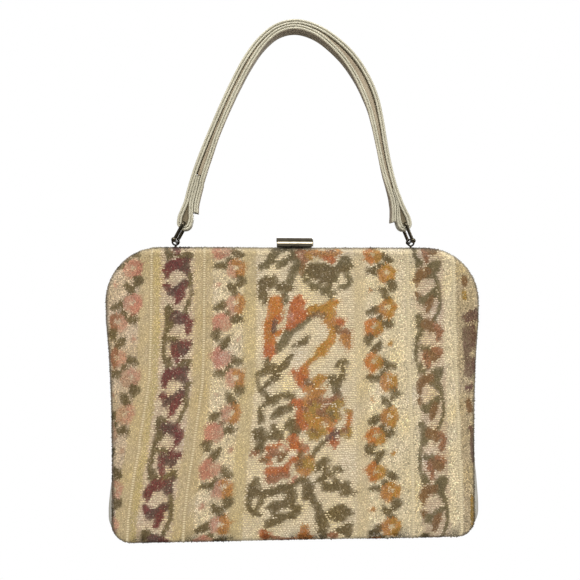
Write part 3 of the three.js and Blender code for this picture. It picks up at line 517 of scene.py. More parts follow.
# the bouquet is drawn in small squares as it hangs, in three lengths: first square down, then strokes
bouquetChart = {"square": 0.609, "left": -40.1, "top": -5.5, "spread": 0.5}
bouquet = [
    (0, [
        ("moss", (19, 36, 5), (27, 34, 9), (34, 27, 11), (38, 19, 13), (42, 13, 8)),
        ("moss", (38, 13, 7), (48, 12, 6), (60, 13, 8), (64, 18, 7)),
        ("moss", (64, 18, 6), (59, 24, 8), (51, 30, 8), (43, 34, 6)),
        ("cream", (48, 20, 5), (43, 26, 6)),
        ("cream", (55, 15, 4), (58, 18, 4)),
        ("moss", (67, 25, 7), (69, 32, 10), (64, 42, 11), (60, 49, 11), (57, 56, 7), (60, 60, 4)),
        ("brown", (76, 33, 5), (74, 43, 6)),
        ("brick", (70, 13, 8), (76, 20, 14), (80, 26, 8)),
        ("pink", (72, 18, 4), (74, 22, 4)),
        ("amber", (86, 14, 7), (98, 18, 11), (110, 20, 13), (118, 17, 12), (126, 15, 6)),
        ("gold", (82, 19, 7), (87, 24, 6)),
        ("pale", (92, 27, 6), (96, 24, 4)),
        ("rust", (106, 23, 6), (115, 26, 8)),
        ("clay", (110, 14, 4), (118, 13, 4)),
        ("olive", (85, 34, 5), (94, 36, 8), (104, 36, 9), (113, 39, 9), (123, 40, 9), (133, 38, 10),
         (140, 33, 6)),
        ("moss", (125, 32, 7), (133, 25, 9), (139, 32, 7)),
        ("olive", (80, 42, 6), (84, 42, 7), (88, 49, 7)),
        ("olive", (93, 40, 4), (93, 52, 4)),
        ("olive", (100, 40, 5), (100, 56, 6)),
        ("olive", (108, 46, 9), (109, 54, 11), (110, 60, 8)),
        ("olive", (116, 42, 5), (115, 50, 5)),
        ("moss", (77, 49, 5), (83, 57, 7), (90, 62, 8), (100, 64, 7), (108, 69, 10), (116, 71, 7),
         (119, 69, 4)),
        ("moss", (109, 73, 5), (113, 74, 5)),
        ("moss", (122, 47, 6), (120, 53, 5)),
        ("moss", (135, 46, 5), (140, 52, 6), (138, 59, 6), (131, 63, 6), (124, 62, 5)),
        ("olive", (25, 56, 14), (33, 57, 15), (40, 56, 8)),
        ("olive", (28, 49, 4), (28, 53, 6)),
        ("olive", (38, 49, 4), (36, 53, 6)),
        ("olive", (43, 64, 8), (52, 64, 11), (61, 63, 5)),
        ("olive", (23, 64, 9), (23, 75, 11), (25, 81, 6)),
        ("moss", (51, 70, 9), (52, 78, 8), (51, 84, 4)),
        ("orange", (40, 80, 11), (40, 86, 17), (38, 94, 18), (34, 104, 13), (31, 115, 11),
         (31, 128, 11), (33, 135, 13), (31, 142, 12)),
        ("orange", (47, 92, 6), (50, 97, 4)),
        ("cream", (46, 98, 5), (47, 101, 5)),
        ("rust", (42, 104, 9), (47, 105, 5)),
        ("plum", (39, 108, 6), (38, 120, 5)),
        ("orange", (43, 123, 6), (44, 125, 5)),
        ("rust", (31, 143, 13), (31, 149, 13), (31, 155, 6)),
        ("rust", (72, 75, 6), (70, 84, 17), (66, 96, 19), (64, 105, 18), (59, 114, 11), (58, 121, 4)),
        ("rust", (74, 96, 11), (74, 106, 11), (70, 112, 6)),
        ("rose", (59, 100, 6), (62, 103, 5)),
        ("gold", (88, 93, 11), (98, 91, 11), (108, 89, 9), (115, 85, 12), (121, 82, 5)),
        ("gold", (108, 95, 11), (115, 98, 11), (109, 103, 8), (110, 107, 6)),
        ("brown", (86, 101, 7), (96, 98, 5), (102, 99, 6)),
        ("moss", (84, 104, 6), (78, 111, 6), (68, 117, 7), (60, 122, 8), (54, 128, 11), (50, 135, 11),
         (44, 142, 9), (41, 148, 5)),
        ("amber", (108, 108, 7), (118, 109, 11), (127, 109, 9)),
        ("rust", (123, 106, 5), (129, 111, 5)),
        ("brown", (119, 118, 10), (125, 119, 9)),
        ("gold", (111, 115, 6), (115, 120, 6)),
        ("clay", (130, 121, 8), (135, 123, 6)),
        ("amber", (128, 129, 8), (134, 130, 8), (132, 138, 8), (137, 141, 4)),
        ("gold", (115, 127, 9), (113, 135, 10), (105, 141, 12), (100, 146, 12), (94, 152, 8),
         (83, 162, 5), (78, 167, 6)),
        ("olive", (84, 128, 4), (78, 134, 7), (70, 138, 6), (62, 140, 4)),
    ]),
    (143.7, [
        ("olive", (29, 12, 4), (30, 20, 7), (30, 27, 11), (23, 31, 8), (17, 33, 7), (16, 40, 5),
         (18, 50, 4), (24, 57, 7), (29, 61, 6)),
        ("olive", (30, 27, 9), (40, 29, 6), (48, 25, 7), (54, 18, 8), (60, 9, 5)),
        ("olive", (25, 18, 3), (41, 22, 3)),
        ("olive", (25, 48, 6), (31, 42, 9), (38, 39, 8), (44, 36, 5)),
        ("cream", (22, 45, 3), (30, 34, 4)),
        ("olive", (31, 64, 6), (40, 65, 8), (48, 60, 6), (56, 60, 8), (64, 63, 5)),
        ("olive", (24, 72, 4), (30, 69, 5), (35, 69, 7), (42, 70, 4)),
        ("olive", (35, 88, 6), (42, 83, 9), (51, 78, 8), (59, 74, 7), (64, 70, 4)),
        ("olive", (55, 79, 5), (59, 79, 4)),
        ("olive", (19, 76, 4), (19, 84, 6), (22, 90, 7), (19, 94, 6)),
        ("olive", (59, 89, 5), (57, 99, 12), (63, 100, 15), (65, 106, 11)),
        ("olive", (15, 106, 9), (20, 108, 15), (20, 118, 12), (18, 126, 9), (22, 131, 5)),
        ("olive", (30, 111, 7), (39, 114, 5), (46, 113, 4)),
        ("olive", (35, 98, 4), (40, 105, 6), (46, 112, 8), (49, 114, 4)),
        ("olive", (121, 20, 5), (128, 15, 4), (134, 19, 5)),
        ("olive", (127, 22, 3), (128, 29, 4)),
        ("olive", (112, 37, 6), (120, 40, 15), (129, 37, 6)),
        ("olive", (119, 45, 15), (117, 53, 9), (123, 60, 7)),
        ("cream", (116, 33, 1), (117, 38, 1)),
        ("cream", (121, 33, 1), (121, 38, 1)),
        ("rust", (65, 31, 7), (69, 36, 13), (70, 41, 9)),
        ("rust", (76, 27, 9), (80, 32, 7), (77, 40, 8), (75, 48, 7), (77, 52, 5)),
        ("orange", (78, 25, 6), (81, 33, 5)),
        ("gold", (90, 41, 7), (96, 42, 11), (102, 38, 7), (99, 35, 5)),
        ("brown", (81, 42, 8), (85, 45, 8), (83, 50, 8)),
        ("amber", (82, 53, 7), (88, 50, 5)),
        ("amber", (79, 66, 9), (87, 62, 9), (95, 57, 9), (101, 55, 7)),
        ("clay", (83, 70, 6), (90, 69, 5), (98, 66, 6), (100, 71, 6)),
        ("clay", (104, 68, 6), (113, 66, 6), (120, 64, 7), (126, 67, 6), (127, 72, 6)),
        ("ochre", (122, 69, 6), (127, 71, 5)),
        ("rust", (64, 69, 6), (69, 70, 9), (73, 69, 6)),
        ("gold", (79, 75, 8), (82, 82, 13), (83, 90, 15), (85, 98, 15), (92, 96, 13), (96, 100, 10)),
        ("rust", (72, 78, 7), (71, 86, 8), (72, 94, 10), (77, 101, 8)),
        ("ochre", (88, 76, 6), (89, 82, 6)),
        ("gold", (90, 90, 7), (98, 92, 6)),
        ("clay", (76, 76, 4), (80, 79, 4)),
        ("brown", (99, 81, 5), (101, 85, 5)),
        ("amber", (102, 89, 6), (107, 92, 9), (113, 96, 9), (119, 94, 5)),
        ("olive", (111, 83, 6), (115, 88, 7), (115, 92, 4)),
        ("rust", (118, 92, 3), (119, 94, 3)),
        ("brown", (104, 86, 4), (108, 86, 3)),
        ("ochre", (83, 108, 8), (92, 111, 8), (100, 108, 9), (108, 106, 8), (114, 104, 6)),
        ("brown", (88, 104, 5), (92, 108, 4)),
        ("rust", (107, 104, 4), (113, 105, 4)),
        ("ochre", (87, 116, 6), (96, 113, 5)),
        ("ochre", (130, 80, 4), (138, 82, 5)),
        ("brown", (122, 83, 4), (126, 88, 4)),
        ("ochre", (118, 77, 4), (124, 75, 4)),
        ("ochre", (91, 70, 4), (96, 74, 4)),
        ("clay", (103, 79, 4), (108, 75, 4)),
        ("ochre", (107, 81, 4), (113, 76, 4)),
        ("ochre", (118, 85, 4), (122, 91, 4)),
        ("clay", (94, 79, 4), (99, 86, 4)),
        ("orange", (136, 87, 7), (135, 95, 6)),
        ("ochre", (127, 108, 9), (133, 109, 11), (138, 106, 5)),
        ("clay", (129, 103, 6), (131, 106, 6)),
        ("plum", (108, 116, 7), (115, 111, 8), (120, 108, 4)),
        ("rust", (113, 120, 6), (116, 123, 9)),
        ("olive", (101, 120, 4), (94, 129, 6), (89, 135, 6), (87, 140, 4)),
        ("rust", (56, 117, 6), (62, 116, 13), (64, 122, 12), (72, 128, 9), (80, 129, 6)),
        ("brick", (72, 124, 5), (79, 127, 5)),
        ("rust", (30, 127, 6), (38, 126, 6), (44, 123, 4)),
        ("brick", (33, 132, 8), (40, 133, 9), (44, 135, 5)),
        ("rust", (29, 139, 4), (32, 144, 7)),
        ("brown", (48, 135, 5), (52, 133, 4)),
        ("brown", (44, 142, 4), (47, 141, 4)),
        ("pink", (50, 124, 4), (54, 128, 4)),
        ("white", (59, 134, 7), (61, 135, 6)),
        ("rust", (61, 143, 7), (65, 142, 8), (68, 145, 5)),
        ("brown", (72, 135, 6), (76, 142, 11), (72, 150, 9)),
        ("amber", (82, 140, 7), (85, 148, 9), (82, 154, 9)),
    ]),
    (261.3, [
        ("rust", (30, 22, 6), (31, 27, 6)),
        ("rust", (30, 38, 9), (39, 40, 13), (52, 37, 11), (56, 34, 4)),
        ("brick", (30, 47, 7), (36, 50, 11), (40, 52, 6)),
        ("brick", (46, 45, 8), (54, 45, 6)),
        ("brown", (68, 33, 8), (76, 35, 11)),
        ("ochre", (80, 29, 10), (86, 29, 5), (85, 37, 6)),
        ("amber", (72, 39, 8), (80, 40, 8)),
        ("rose", (63, 48, 6), (67, 48, 4)),
        ("brown", (20, 23, 5), (27, 24, 6)),
        ("brick", (9, 15, 4), (17, 16, 3)),
        ("olive", (63, 56, 6), (70, 50, 8), (77, 52, 12), (82, 58, 13), (80, 66, 11)),
        ("olive", (77, 72, 7), (82, 66, 8), (87, 70, 7), (89, 79, 7), (94, 87, 9), (97, 95, 11),
         (97, 102, 11), (102, 108, 12), (99, 117, 9), (102, 124, 9)),
        ("olive", (112, 93, 7), (122, 90, 14), (130, 93, 12), (138, 95, 6)),
        ("olive", (122, 86, 7), (128, 85, 5)),
        ("olive", (113, 100, 6), (122, 101, 7), (130, 99, 6)),
        ("olive", (122, 116, 7), (131, 115, 15), (135, 110, 8), (133, 122, 8)),
        ("olive", (96, 29, 6), (103, 28, 11), (107, 27, 7)),
        ("olive", (94, 37, 6), (97, 35, 5)),
        ("olive", (104, 40, 6), (110, 39, 9), (119, 38, 11), (124, 39, 6)),
        ("cream", (111, 37, 2.5), (114, 41, 2.5)),
        ("olive", (96, 51, 6), (101, 49, 5), (106, 44, 5)),
        ("olive", (110, 43, 6), (116, 50, 5), (120, 56, 6), (124, 60, 7), (131, 65, 9), (139, 68, 6)),
        ("olive", (100, 54, 6), (104, 60, 9), (112, 62, 9), (118, 62, 6)),
        ("olive", (131, 54, 5), (132, 57, 5)),
        ("olive", (124, 69, 5), (131, 69, 5)),
        ("olive", (14, 49, 7), (13, 57, 13), (15, 64, 11)),
        ("olive", (8, 62, 6), (6, 74, 6), (4, 83, 5), (10, 90, 6), (14, 93, 5), (19, 94, 3)),
        ("olive", (23, 70, 7), (20, 75, 6), (17, 83, 6), (15, 90, 5)),
        ("olive", (23, 70, 6), (30, 65, 9), (40, 64, 9), (50, 61, 12), (57, 66, 13), (62, 72, 11)),
        ("olive", (34, 85, 9), (42, 83, 13), (50, 81, 11), (56, 77, 6)),
        ("olive", (60, 81, 6), (66, 86, 10), (69, 89, 6), (64, 93, 9), (56, 97, 9), (48, 97, 8),
         (42, 103, 9), (34, 103, 8), (29, 106, 9), (27, 111, 3)),
        ("olive", (36, 93, 4), (42, 91, 4)),
        ("rust", (24, 119, 10), (27, 124, 8)),
        ("brick", (34, 124, 5), (48, 128, 5), (61, 128, 5)),
        ("orange", (77, 119, 11), (76, 123, 14), (84, 125, 5)),
        ("amber", (74, 111, 4), (79, 111, 4)),
        ("brick", (111, 123, 7), (116, 123, 7)),
    ]),
]
leanRounds = 12  # enough for unlean to settle


def leanAt(across, down):
    return np.interp(across, *zip(*lean)) * np.interp(down, *zip(*leanGrowth))


# Column of the straight cloth that has leaned over to x
def unlean(x, down):
    across = x
    for _ in range(leanRounds):
        across = x - leanAt(across, down)
    return across


def allStrokes():
    drawn = []
    for rightUnit, leftUnit, across, first, repeats, swell, rightDyes, leftDyes in vines:
        for count in repeats:
            hand, unit, own = (1, rightUnit, rightDyes) if count % 2 == 0 else (-1, leftUnit, leftDyes)
            named = dict(zip(("first", "second", "third"), own))
            for name, *points in unit:
                moved = [(across + hand * x, first + vineStep * count + y, w + swell) for x, y, w in points]
                drawn.append((named.get(name, name), moved))
    drawn += [(dye, points) for dye, *points in edgeLeaves]
    square = bouquetChart["square"]
    for first, strokes in bouquet:
        for dye, *points in strokes:
            x, down, width = np.array(points, float).T * square
            down = down + first * square + bouquetChart["top"]
            across = unlean(x + bouquetChart["left"], down)
            drawn.append((dye, np.column_stack([across, down, width + bouquetChart["spread"]])))
    return drawn


dyeNames = list(dyes)
dyeTable = np.array([toLinear(dyes[name]) for name in dyeNames])
groundDyes = ("cream", "white")  # strokes of these are gaps in a motif
chart = allStrokes()
print(len(chart), "strokes drawn")


# Dye and ground at each place, and whether it is part of a motif; with dice, yarns are mixed in
def readChart(across, down, dice=None):
    dye = np.zeros(len(across), int)
    motif = np.zeros(len(across), bool)
    for low, high, name, _ in bands:
        dye[(across >= low) & (across < high)] = dyeNames.index(name)
    ground = dye.copy()
    for name, points in chart:
        points = np.array(points, float)
        reach = points[:, 2].max() / 2 + strokeGrow
        near = np.flatnonzero(
            (across > points[:, 0].min() - reach) & (across < points[:, 0].max() + reach)
            & (down > points[:, 1].min() - reach) & (down < points[:, 1].max() + reach))
        if not len(near):
            continue
        spot = np.column_stack([across[near], down[near]])
        covered = np.zeros(len(near), bool)
        for a, b in zip(points[:-1], points[1:]):
            step = b[:2] - a[:2]
            along = np.clip(((spot - a[:2]) @ step) / max(step @ step, 1e-9), 0, 1)
            away = np.linalg.norm(spot - a[:2] - along[:, None] * step, axis=1)
            covered |= away < (a[2] + (b[2] - a[2]) * along) / 2 + strokeGrow
        dye[near[covered]] = dyeNames.index(name)
        motif[near[covered]] = name not in groundDyes
    if dice:
        toss = dice.random(len(across))
        was = dye.copy()
        for name, (other, share) in heather.items():
            dye[(was == dyeNames.index(name)) & (toss < share)] = dyeNames.index(other)
    return dye, ground, motif


# Cloth walls under the pile, with painted shade: darkened under the yarns, and more along the edges and the
# mouth where the cloth turns away from the light
clothSpec = {"rows": 72, "columns": 84, "crowd": 0.75, "weld": 2e-5, "shade": 0.8, "under": 0.45,
             "edge": 2.6, "edgeShade": 0.3, "topShade": 0.7}


# Even steps from -1 to 1, crowded towards both ends
def edgeSpread(count):
    t = np.linspace(-1, 1, count)
    return np.sin(t * np.pi / 2) * clothSpec["crowd"] + t * (1 - clothSpec["crowd"])


# the colours laid in this layer hold painted shade as well as the dye
def dyeAndShadeLayer(mesh, colours):
    layer = mesh.color_attributes.new("dye", "FLOAT_COLOR", "POINT")
    layer.data.foreach_set("color", colours.ravel())


def clothWall(name, side):
    drops = (edgeSpread(clothSpec["rows"]) + 1) / 2 * wall["height"]
    shares = edgeSpread(clothSpec["columns"])
    places = np.empty((len(drops), len(shares), 3))
    right = np.column_stack([halfWidth(drops), drops])
    outline = np.concatenate([right, (right * (-1, 1))[::-1]])
    for r, down in enumerate(drops):
        x, drop = shares * halfWidth(down), np.full_like(shares, down)
        nearX, nearDrop = nearOutline(outline, x, drop)
        k = 1 - np.clip(np.hypot(x - nearX, drop - nearDrop) / wall["roll"], 0, 1)
        rim = smoothLook(depths, 2, drop)
        depth = rim + (faceDepth(x, drop) - rim) * np.sqrt(1 - k * k)
        places[r] = np.column_stack([x, -depth, -drop])
    places[..., 1] += clothSpec["under"]
    piece = gridPiece(name, onBag(places, side))
    sew(piece, clothSpec["weld"], turned=False)
    faceOut(piece, piece.data.polygons[len(piece.data.polygons) // 2], (0, side, 0))
    applyStep(piece, "SOLIDIFY", thickness=wall["thick"] * mm, offset=-1.0, use_even_offset=False)
    flat = vertexPlaces(piece) / mm - mouth
    x, drop = flat[:, 0] * -side, -flat[:, 2]
    dye = readChart(unlean(x, drop), drop)[0]
    colour = np.ones((len(x), 4))
    # painted shade: the cloth is darkened as if shaded by the pile over it, and darker still along its edges
    # and its mouth
    away = np.minimum(halfWidth(np.clip(drop, 0, wall["height"])) - np.abs(x), wall["height"] - drop)
    dark = clothSpec["edgeShade"] * np.clip(1 - away / clothSpec["edge"], 0, 1)
    dark = np.maximum(dark, clothSpec["topShade"] * np.clip(1 - drop / clothSpec["edge"], 0, 1))
    colour[:, :3] = dyeTable[dye] * clothSpec["shade"] * (1 - dark)[:, None]
    dyeAndShadeLayer(piece.data, colour)
    smoothBy(piece, 50)
    return piece


# Finish that takes its colour from the dye layer, which also holds painted shade and painted glints, broken
# up by a fine noise
def yarnFinish(name, noise, share, dark, light, bump, **sockets):
    made = Nodes(name, Roughness=0.95, Sheen_Weight=0.03, **sockets)
    dye = made.add("ShaderNodeAttribute", attribute_name="dye").outputs["Color"]
    fluff = made.noise(*noise)
    made.colour(made.mix("MULTIPLY", share, dye, made.ramp(fluff, [(0.3, (*dark, 1)), (0.7, (*light, 1))])))
    made.normal(made.bump(fluff, *bump))
    return made.finish


pileFinish = yarnFinish("pileYarn", (1600, 2.0), 0.35, (0.7, 0.68, 0.66), (1.2, 1.2, 1.18), (0.35, 0.0003),
                        Sheen_Roughness=0.5, Specular_IOR_Level=0.12)
backing = yarnFinish("clothBacking", (900, 2.0, (1, 1, 3)), 0.6, (0.6, 0.6, 0.6), (1.2, 1.2, 1.2),
                     (0.6, 0.0004), Specular_IOR_Level=0.1)

# Pile, in mm: the field it is laid out over, how loosely it stands and how its colour varies
pileSpec = {"seed": 11, "down": (-16, 250), "across": (-190, 190), "rungLoose": 0.06, "dashLoose": 0.55,
            "looseDown": 0.8, "besideStep": 1.5, "besideGap": 0.5, "beside": 0.9, "rung": 0.99, "end": 0.98,
            "pull": 0.7, "pullCount": (400, 60), "pullFrom": (-205, -30), "pullCell": (1.1, 6),
            "stray": 0.07, "mottle": 0.05, "hue": 0.03, "hueTint": (0.3, 0.1, -1), "waves": 7,
            "waveLow": (-0.35, -0.25, 0), "waveHigh": (0.35, 0.25, 6.3), "darkest": 0.003, "lightest": 0.95}
# how a yarn stands: sunk into the cloth, foot below it, spread of sizes, and a few long fibres at the edge;
# its shades are painted shade and light, darker at the foot and lighter at the tip
yarnSpec = {"sink": 0.5, "foot": 0.3, "sizes": (0.88, 1.12), "rises": (0.75, 1.25), "lean": 0.16,
            "overTop": 0.8, "shoulder": 0.82, "shoulderRise": 0.62, "shades": (0.84, 1.0, 1.06),
            "fuzz": 0.06, "fuzzRise": 0.7, "fuzzFrom": 0.3}
# soil, darkening at the foot, and painted shade along the edges and the mouth: start and length of a zone,
# then how much it takes; edge and top go by the share of the roll
soilAndShade = {"foot": (219, 10), "patch": (0.35, 2.5), "footDim": 0.75,
        "side": (118, 12), "sideDown": (60, 70), "sideSoil": 0.14,
        "mouth": 17, "dull": 0.3, "mouthShadeTint": (1.2, 1, 0.72), "mouthShadeFade": 0.14,
        "edge": [(0.26, 1), (0.45, 0.4), (0.62, 0.3), (0.86, 0.6), (1, 0.6)], "edgeGrey": 0.4,
        "top": (0.42, 0.26), "topLevel": 0.3, "topGrey": 0.6, "greyTint": (1.05, 1, 0.82)}
# half sizes along and across the row, rise, then how the yarn varies: spread, share and level of light yarns,
# which are partly painted glints on the pile, share and level of dark ones
weaves = {
    "grain": (0.82, 0.78, 1.0, 0.17, 0.36, 1.36, 0.26, 0.6),
    "dash": (1.1, 0.72, 0.62, 0.07, 0.2, 1.12, 0.12, 0.87),
    "smooth": (0.82, 0.78, 0.85, 0.11, 0.3, 1.24, 0.2, 0.74),
    "rung": (1.3, 0.5, 0.85, 0.12, 0, 1, 0, 1),
    "tuft": (0.72, 0.72, 0.98, 0.12, 0.14, 1.26, 0.24, 0.72),
}
weaveNames = list(weaves)
weaveTable = np.array(list(weaves.values()))
# Uncut loops and a grainy clipped pile make the ground, a finer cut pile the motifs;
# each kind: spacing along and between rows, looseness, sides, blur of the drawing, its own draw, its weaves
loopKind = {"step": 1.75, "row": 1.75, "loose": 0.42, "sides": 5, "blur": (0.4, 0.5), "cut": False,
            "draw": 50, "weaves": ("dash", "rung")}
grainKind = {"step": 1.16, "row": 1.08, "loose": 0.26, "sides": 4, "blur": (0.4, 0.5), "cut": True,
             "draw": 60, "weaves": ("grain", "smooth")}
tuftKind = {"step": 0.98, "row": 0.88, "loose": 0.16, "sides": 4, "blur": (0.34, 0.55), "cut": True,
            "draw": 40, "weaves": ("tuft",)}


def pileSpots(kind, dice):
    downs = np.arange(*pileSpec["down"], kind["row"])
    acrosses = np.arange(*pileSpec["across"], kind["step"])
    down, across = [a.ravel() for a in np.meshgrid(downs, acrosses, indexing="ij")]
    odd = np.rint((down - pileSpec["down"][0]) / kind["row"]).astype(int) % 2
    across = across + odd * kind["step"] / 2
    weave = np.zeros(len(across), int)
    for low, high, _, woven in bands:
        weave[(across >= low) & (across < high)] = weaveNames.index(woven)
    beside = np.ones(len(across))
    # loops of a ladder line stand in one file, and those beside it are pushed away
    for line in ladders if kind is not tuftKind else []:
        off = across - line
        onLine = np.abs(off) <= loopKind["step"] / 2
        close = ~onLine & (np.abs(off) <= loopKind["step"] * pileSpec["besideStep"])
        across[onLine] = line
        across[close] += np.sign(off[close]) * pileSpec["besideGap"]
        beside[close] = pileSpec["beside"]
        weave[onLine] = weaveNames.index("rung")
    loose = np.where(weave == weaveNames.index("rung"), pileSpec["rungLoose"], kind["loose"])
    loose[weave == weaveNames.index("dash")] *= pileSpec["dashLoose"]
    across = across + dice.normal(0, 1, len(across)) * loose
    down = down + dice.normal(0, 1, len(down)) * loose * pileSpec["looseDown"]
    return across, down, weave, beside


# 0 up to the start, then up to 1 over the length
def comesOn(at, start, length):
    return np.clip((at - start) / length, 0, 1)


def yarnColours(dice, yarn):
    across, down, weave, share = [yarn[key] for key in ("across", "down", "weave", "share")]
    count = len(across)
    spread, paleAndGlintShare, paleAndGlintLevel, darkShare, darkLevel = weaveTable[weave].T[3:]
    # a little of the ground shows through a motif, and the whole cloth is slightly cloudy
    colour = dyeTable[yarn["dye"]]
    stray = yarn["motif"] & (dice.random(count) < pileSpec["stray"])
    colour = np.where(stray[:, None], (colour + dyeTable[yarn["ground"]]) / 2, colour)
    half = pileSpec["waves"]
    waves = np.random.default_rng(pileSpec["seed"]).uniform(
        pileSpec["waveLow"], pileSpec["waveHigh"], (2 * half, 3))
    cloud, hue = [sum(np.sin(across * a + down * b + c) for a, b, c in some)
                  for some in (waves[:half], waves[half:])]
    colour = colour * (1 + cloud * pileSpec["mottle"] / 2 + dice.normal(0, 1, count) * spread)[:, None]
    colour = colour * (1 + hue[:, None] * pileSpec["hue"] * pileSpec["hueTint"])
    # the cloth is darker in patches towards the foot, and the lower left side is a little soiled
    patchBase, patchDepth = soilAndShade["patch"]
    footDim = soilAndShade["footDim"] * comesOn(down, *soilAndShade["foot"]) * np.clip(patchBase + cloud / patchDepth, 0, 1)
    sideSoil = soilAndShade["sideSoil"] * comesOn(-across, *soilAndShade["side"]) * comesOn(down, *soilAndShade["sideDown"])
    colour = colour * (1 - np.maximum(footDim, sideSoil))[:, None]
    # and the cloth is painted duller and darker along the mouth, as shade
    zone = np.clip(1 - down / soilAndShade["mouth"], 0, 1)[:, None]
    mouthShaded = colour.mean(1)[:, None] * soilAndShade["mouthShadeTint"] * soilAndShade["dull"] * zone
    colour = (colour * (1 - soilAndShade["dull"] * zone) + mouthShaded) * (1 - soilAndShade["mouthShadeFade"] * zone)
    # some yarns are lighter at random, partly as painted glints on the pile
    pick = dice.random(count)
    level = np.where(pick < paleAndGlintShare, paleAndGlintLevel, np.where(pick > 1 - darkShare, darkLevel, 1.0))
    rung = weave == weaveNames.index("rung")
    colour = np.where(rung[:, None], dyeTable[dyeNames.index("light")] * pileSpec["rung"], colour)
    colour = colour * (level * yarn["beside"])[:, None]
    # painted shade: dimmer and greyed where the cloth turns away from the light at its edge, and dark and
    # greyed where it turns over along the mouth
    sideLevel = np.interp(share, *zip(*soilAndShade["edge"]))[:, None]
    topLevel = 1 - (1 - soilAndShade["topLevel"]) * comesOn(share, *soilAndShade["top"])[:, None]
    up = np.clip(yarn["way"][:, 2:], 0, 1)
    greyed = np.maximum(soilAndShade["topGrey"] * up * (1 - topLevel), soilAndShade["edgeGrey"] * (1 - sideLevel))
    grey = colour.mean(1)[:, None] * soilAndShade["greyTint"]
    colour = (colour * (1 - greyed) + grey * greyed) * (sideLevel * (1 - up) + topLevel * up)
    return np.clip(colour, pileSpec["darkest"], pileSpec["lightest"])


# Vertices of each yarn: a ring at its foot, one at its shoulder if it is a loop, and the tip
def yarnShapes(dice, kind, yarn):
    way, sides = yarn["way"], kind["sides"]
    count = len(way)
    place = yarn["place"] - way * yarnSpec["sink"]
    wide, tall, rise = weaveTable[yarn["weave"]].T[:3]
    alongRow = np.cross(way, (0, 0, -1.0))
    alongRow[np.abs(way[:, 2]) > yarnSpec["overTop"]] = (1, 0, 0)
    alongRow -= (alongRow * way).sum(1)[:, None] * way
    alongRow /= np.linalg.norm(alongRow, axis=1)[:, None]
    downRow = np.cross(alongRow, way)
    wide = wide * dice.uniform(*yarnSpec["sizes"], count)
    tall = tall * dice.uniform(*yarnSpec["sizes"], count)
    rise = rise * dice.uniform(*yarnSpec["rises"], count)
    fibre = yarnSpec["fuzzRise"] * dice.random(count) * (dice.random(count) < yarnSpec["fuzz"])
    rise = rise + fibre * (yarn["share"] > yarnSpec["fuzzFrom"])
    spin = dice.uniform(0, 2 * np.pi, count)
    tip = dice.normal(0, yarnSpec["lean"], (count, 2))
    ring = np.arange(sides) * 2 * np.pi / sides + spin[:, None]
    cosine, sine = np.cos(ring)[..., None], np.sin(ring)[..., None]
    sideways = cosine * (alongRow * wide[:, None])[:, None] + sine * (downRow * tall[:, None])[:, None]
    shift = alongRow * tip[:, :1] + downRow * tip[:, 1:]
    low = place[:, None] + sideways - yarnSpec["foot"] * way[:, None]
    bent = way * (rise * yarnSpec["shoulderRise"])[:, None] + shift / 2
    middle = place[:, None] + sideways * yarnSpec["shoulder"] + bent[:, None]
    top = (place + way * rise[:, None] + shift)[:, None]
    return np.concatenate([low, top] if kind["cut"] else [low, middle, top], axis=1)


def pileYarns(side, kind):
    dice = np.random.default_rng(pileSpec["seed"] + side + kind["draw"])
    across, down, weave, beside = pileSpots(kind, dice)
    # each column is pulled up or down a little, so the edges of motifs are streaky
    pull = dice.normal(0, pileSpec["pull"], pileSpec["pullCount"])
    cells = zip((across, down), pileSpec["pullFrom"], pileSpec["pullCell"])
    column, row = [((at - first) / cell).astype(int) for at, first, cell in cells]
    blurX, blurDown = [dice.normal(0, size, len(across)) for size in kind["blur"]]
    dye, ground, motif = readChart(across + blurX, down + pull[column, row] + blurDown, dice)
    place, way, share = wallPlace(across + leanAt(across, down), down)
    weave[motif] = weaveNames.index("tuft")
    keep = (share < pileSpec["end"]) & np.isin(weave, [weaveNames.index(name) for name in kind["weaves"]])
    yarn = {"across": across, "down": down, "weave": weave, "beside": beside, "dye": dye, "ground": ground,
            "motif": motif, "place": place, "way": way, "share": share}
    yarn = {key: values[keep] for key, values in yarn.items()}
    colour = yarnColours(dice, yarn)
    # painted shade and light: each yarn is darker at its foot, where its neighbours shade it, and lighter at
    # its tip
    foot, shoulder, tip = yarnSpec["shades"]
    shade = [foot] * kind["sides"] + ([] if kind["cut"] else [shoulder] * kind["sides"]) + [tip]
    shadedTints = np.ones((len(colour), len(shade), 4))
    shadedTints[..., :3] = colour[:, None] * np.array(shade)[None, :, None]
    return yarn["across"], onBag(yarnShapes(dice, kind, yarn), side), shadedTints


def yarnFacets(kind):
    sides = kind["sides"]
    facets = []
    for k in range(sides):
        n = (k + 1) % sides
        if kind["cut"]:
            facets.append((k, n, sides))
        else:
            facets += [(k, n, sides + n), (k, sides + n, sides + k), (sides + k, sides + n, 2 * sides)]
    return np.array(facets)


def pilePiece(name, batches):
    places, faceLists, colours, first = [], [], [], 0
    for yarns, shadedTints, facets in batches:
        size = yarns.shape[1]
        faceLists.append((first + np.arange(len(yarns))[:, None, None] * size + facets).reshape(-1, 3))
        places.append(yarns.reshape(-1, 3) * mm)
        colours.append(shadedTints.reshape(-1, 4))
        first += len(yarns) * size
    mesh = bpy.data.meshes.new(name)
    mesh.from_pydata(np.concatenate(places).tolist(), [], np.concatenate(faceLists).tolist())
    dyeAndShadeLayer(mesh, np.concatenate(colours))
    mesh.shade_smooth()
    mesh.update()
    piece = bpy.data.objects.new(name, mesh)
    bpy.context.scene.collection.objects.link(piece)
    return piece


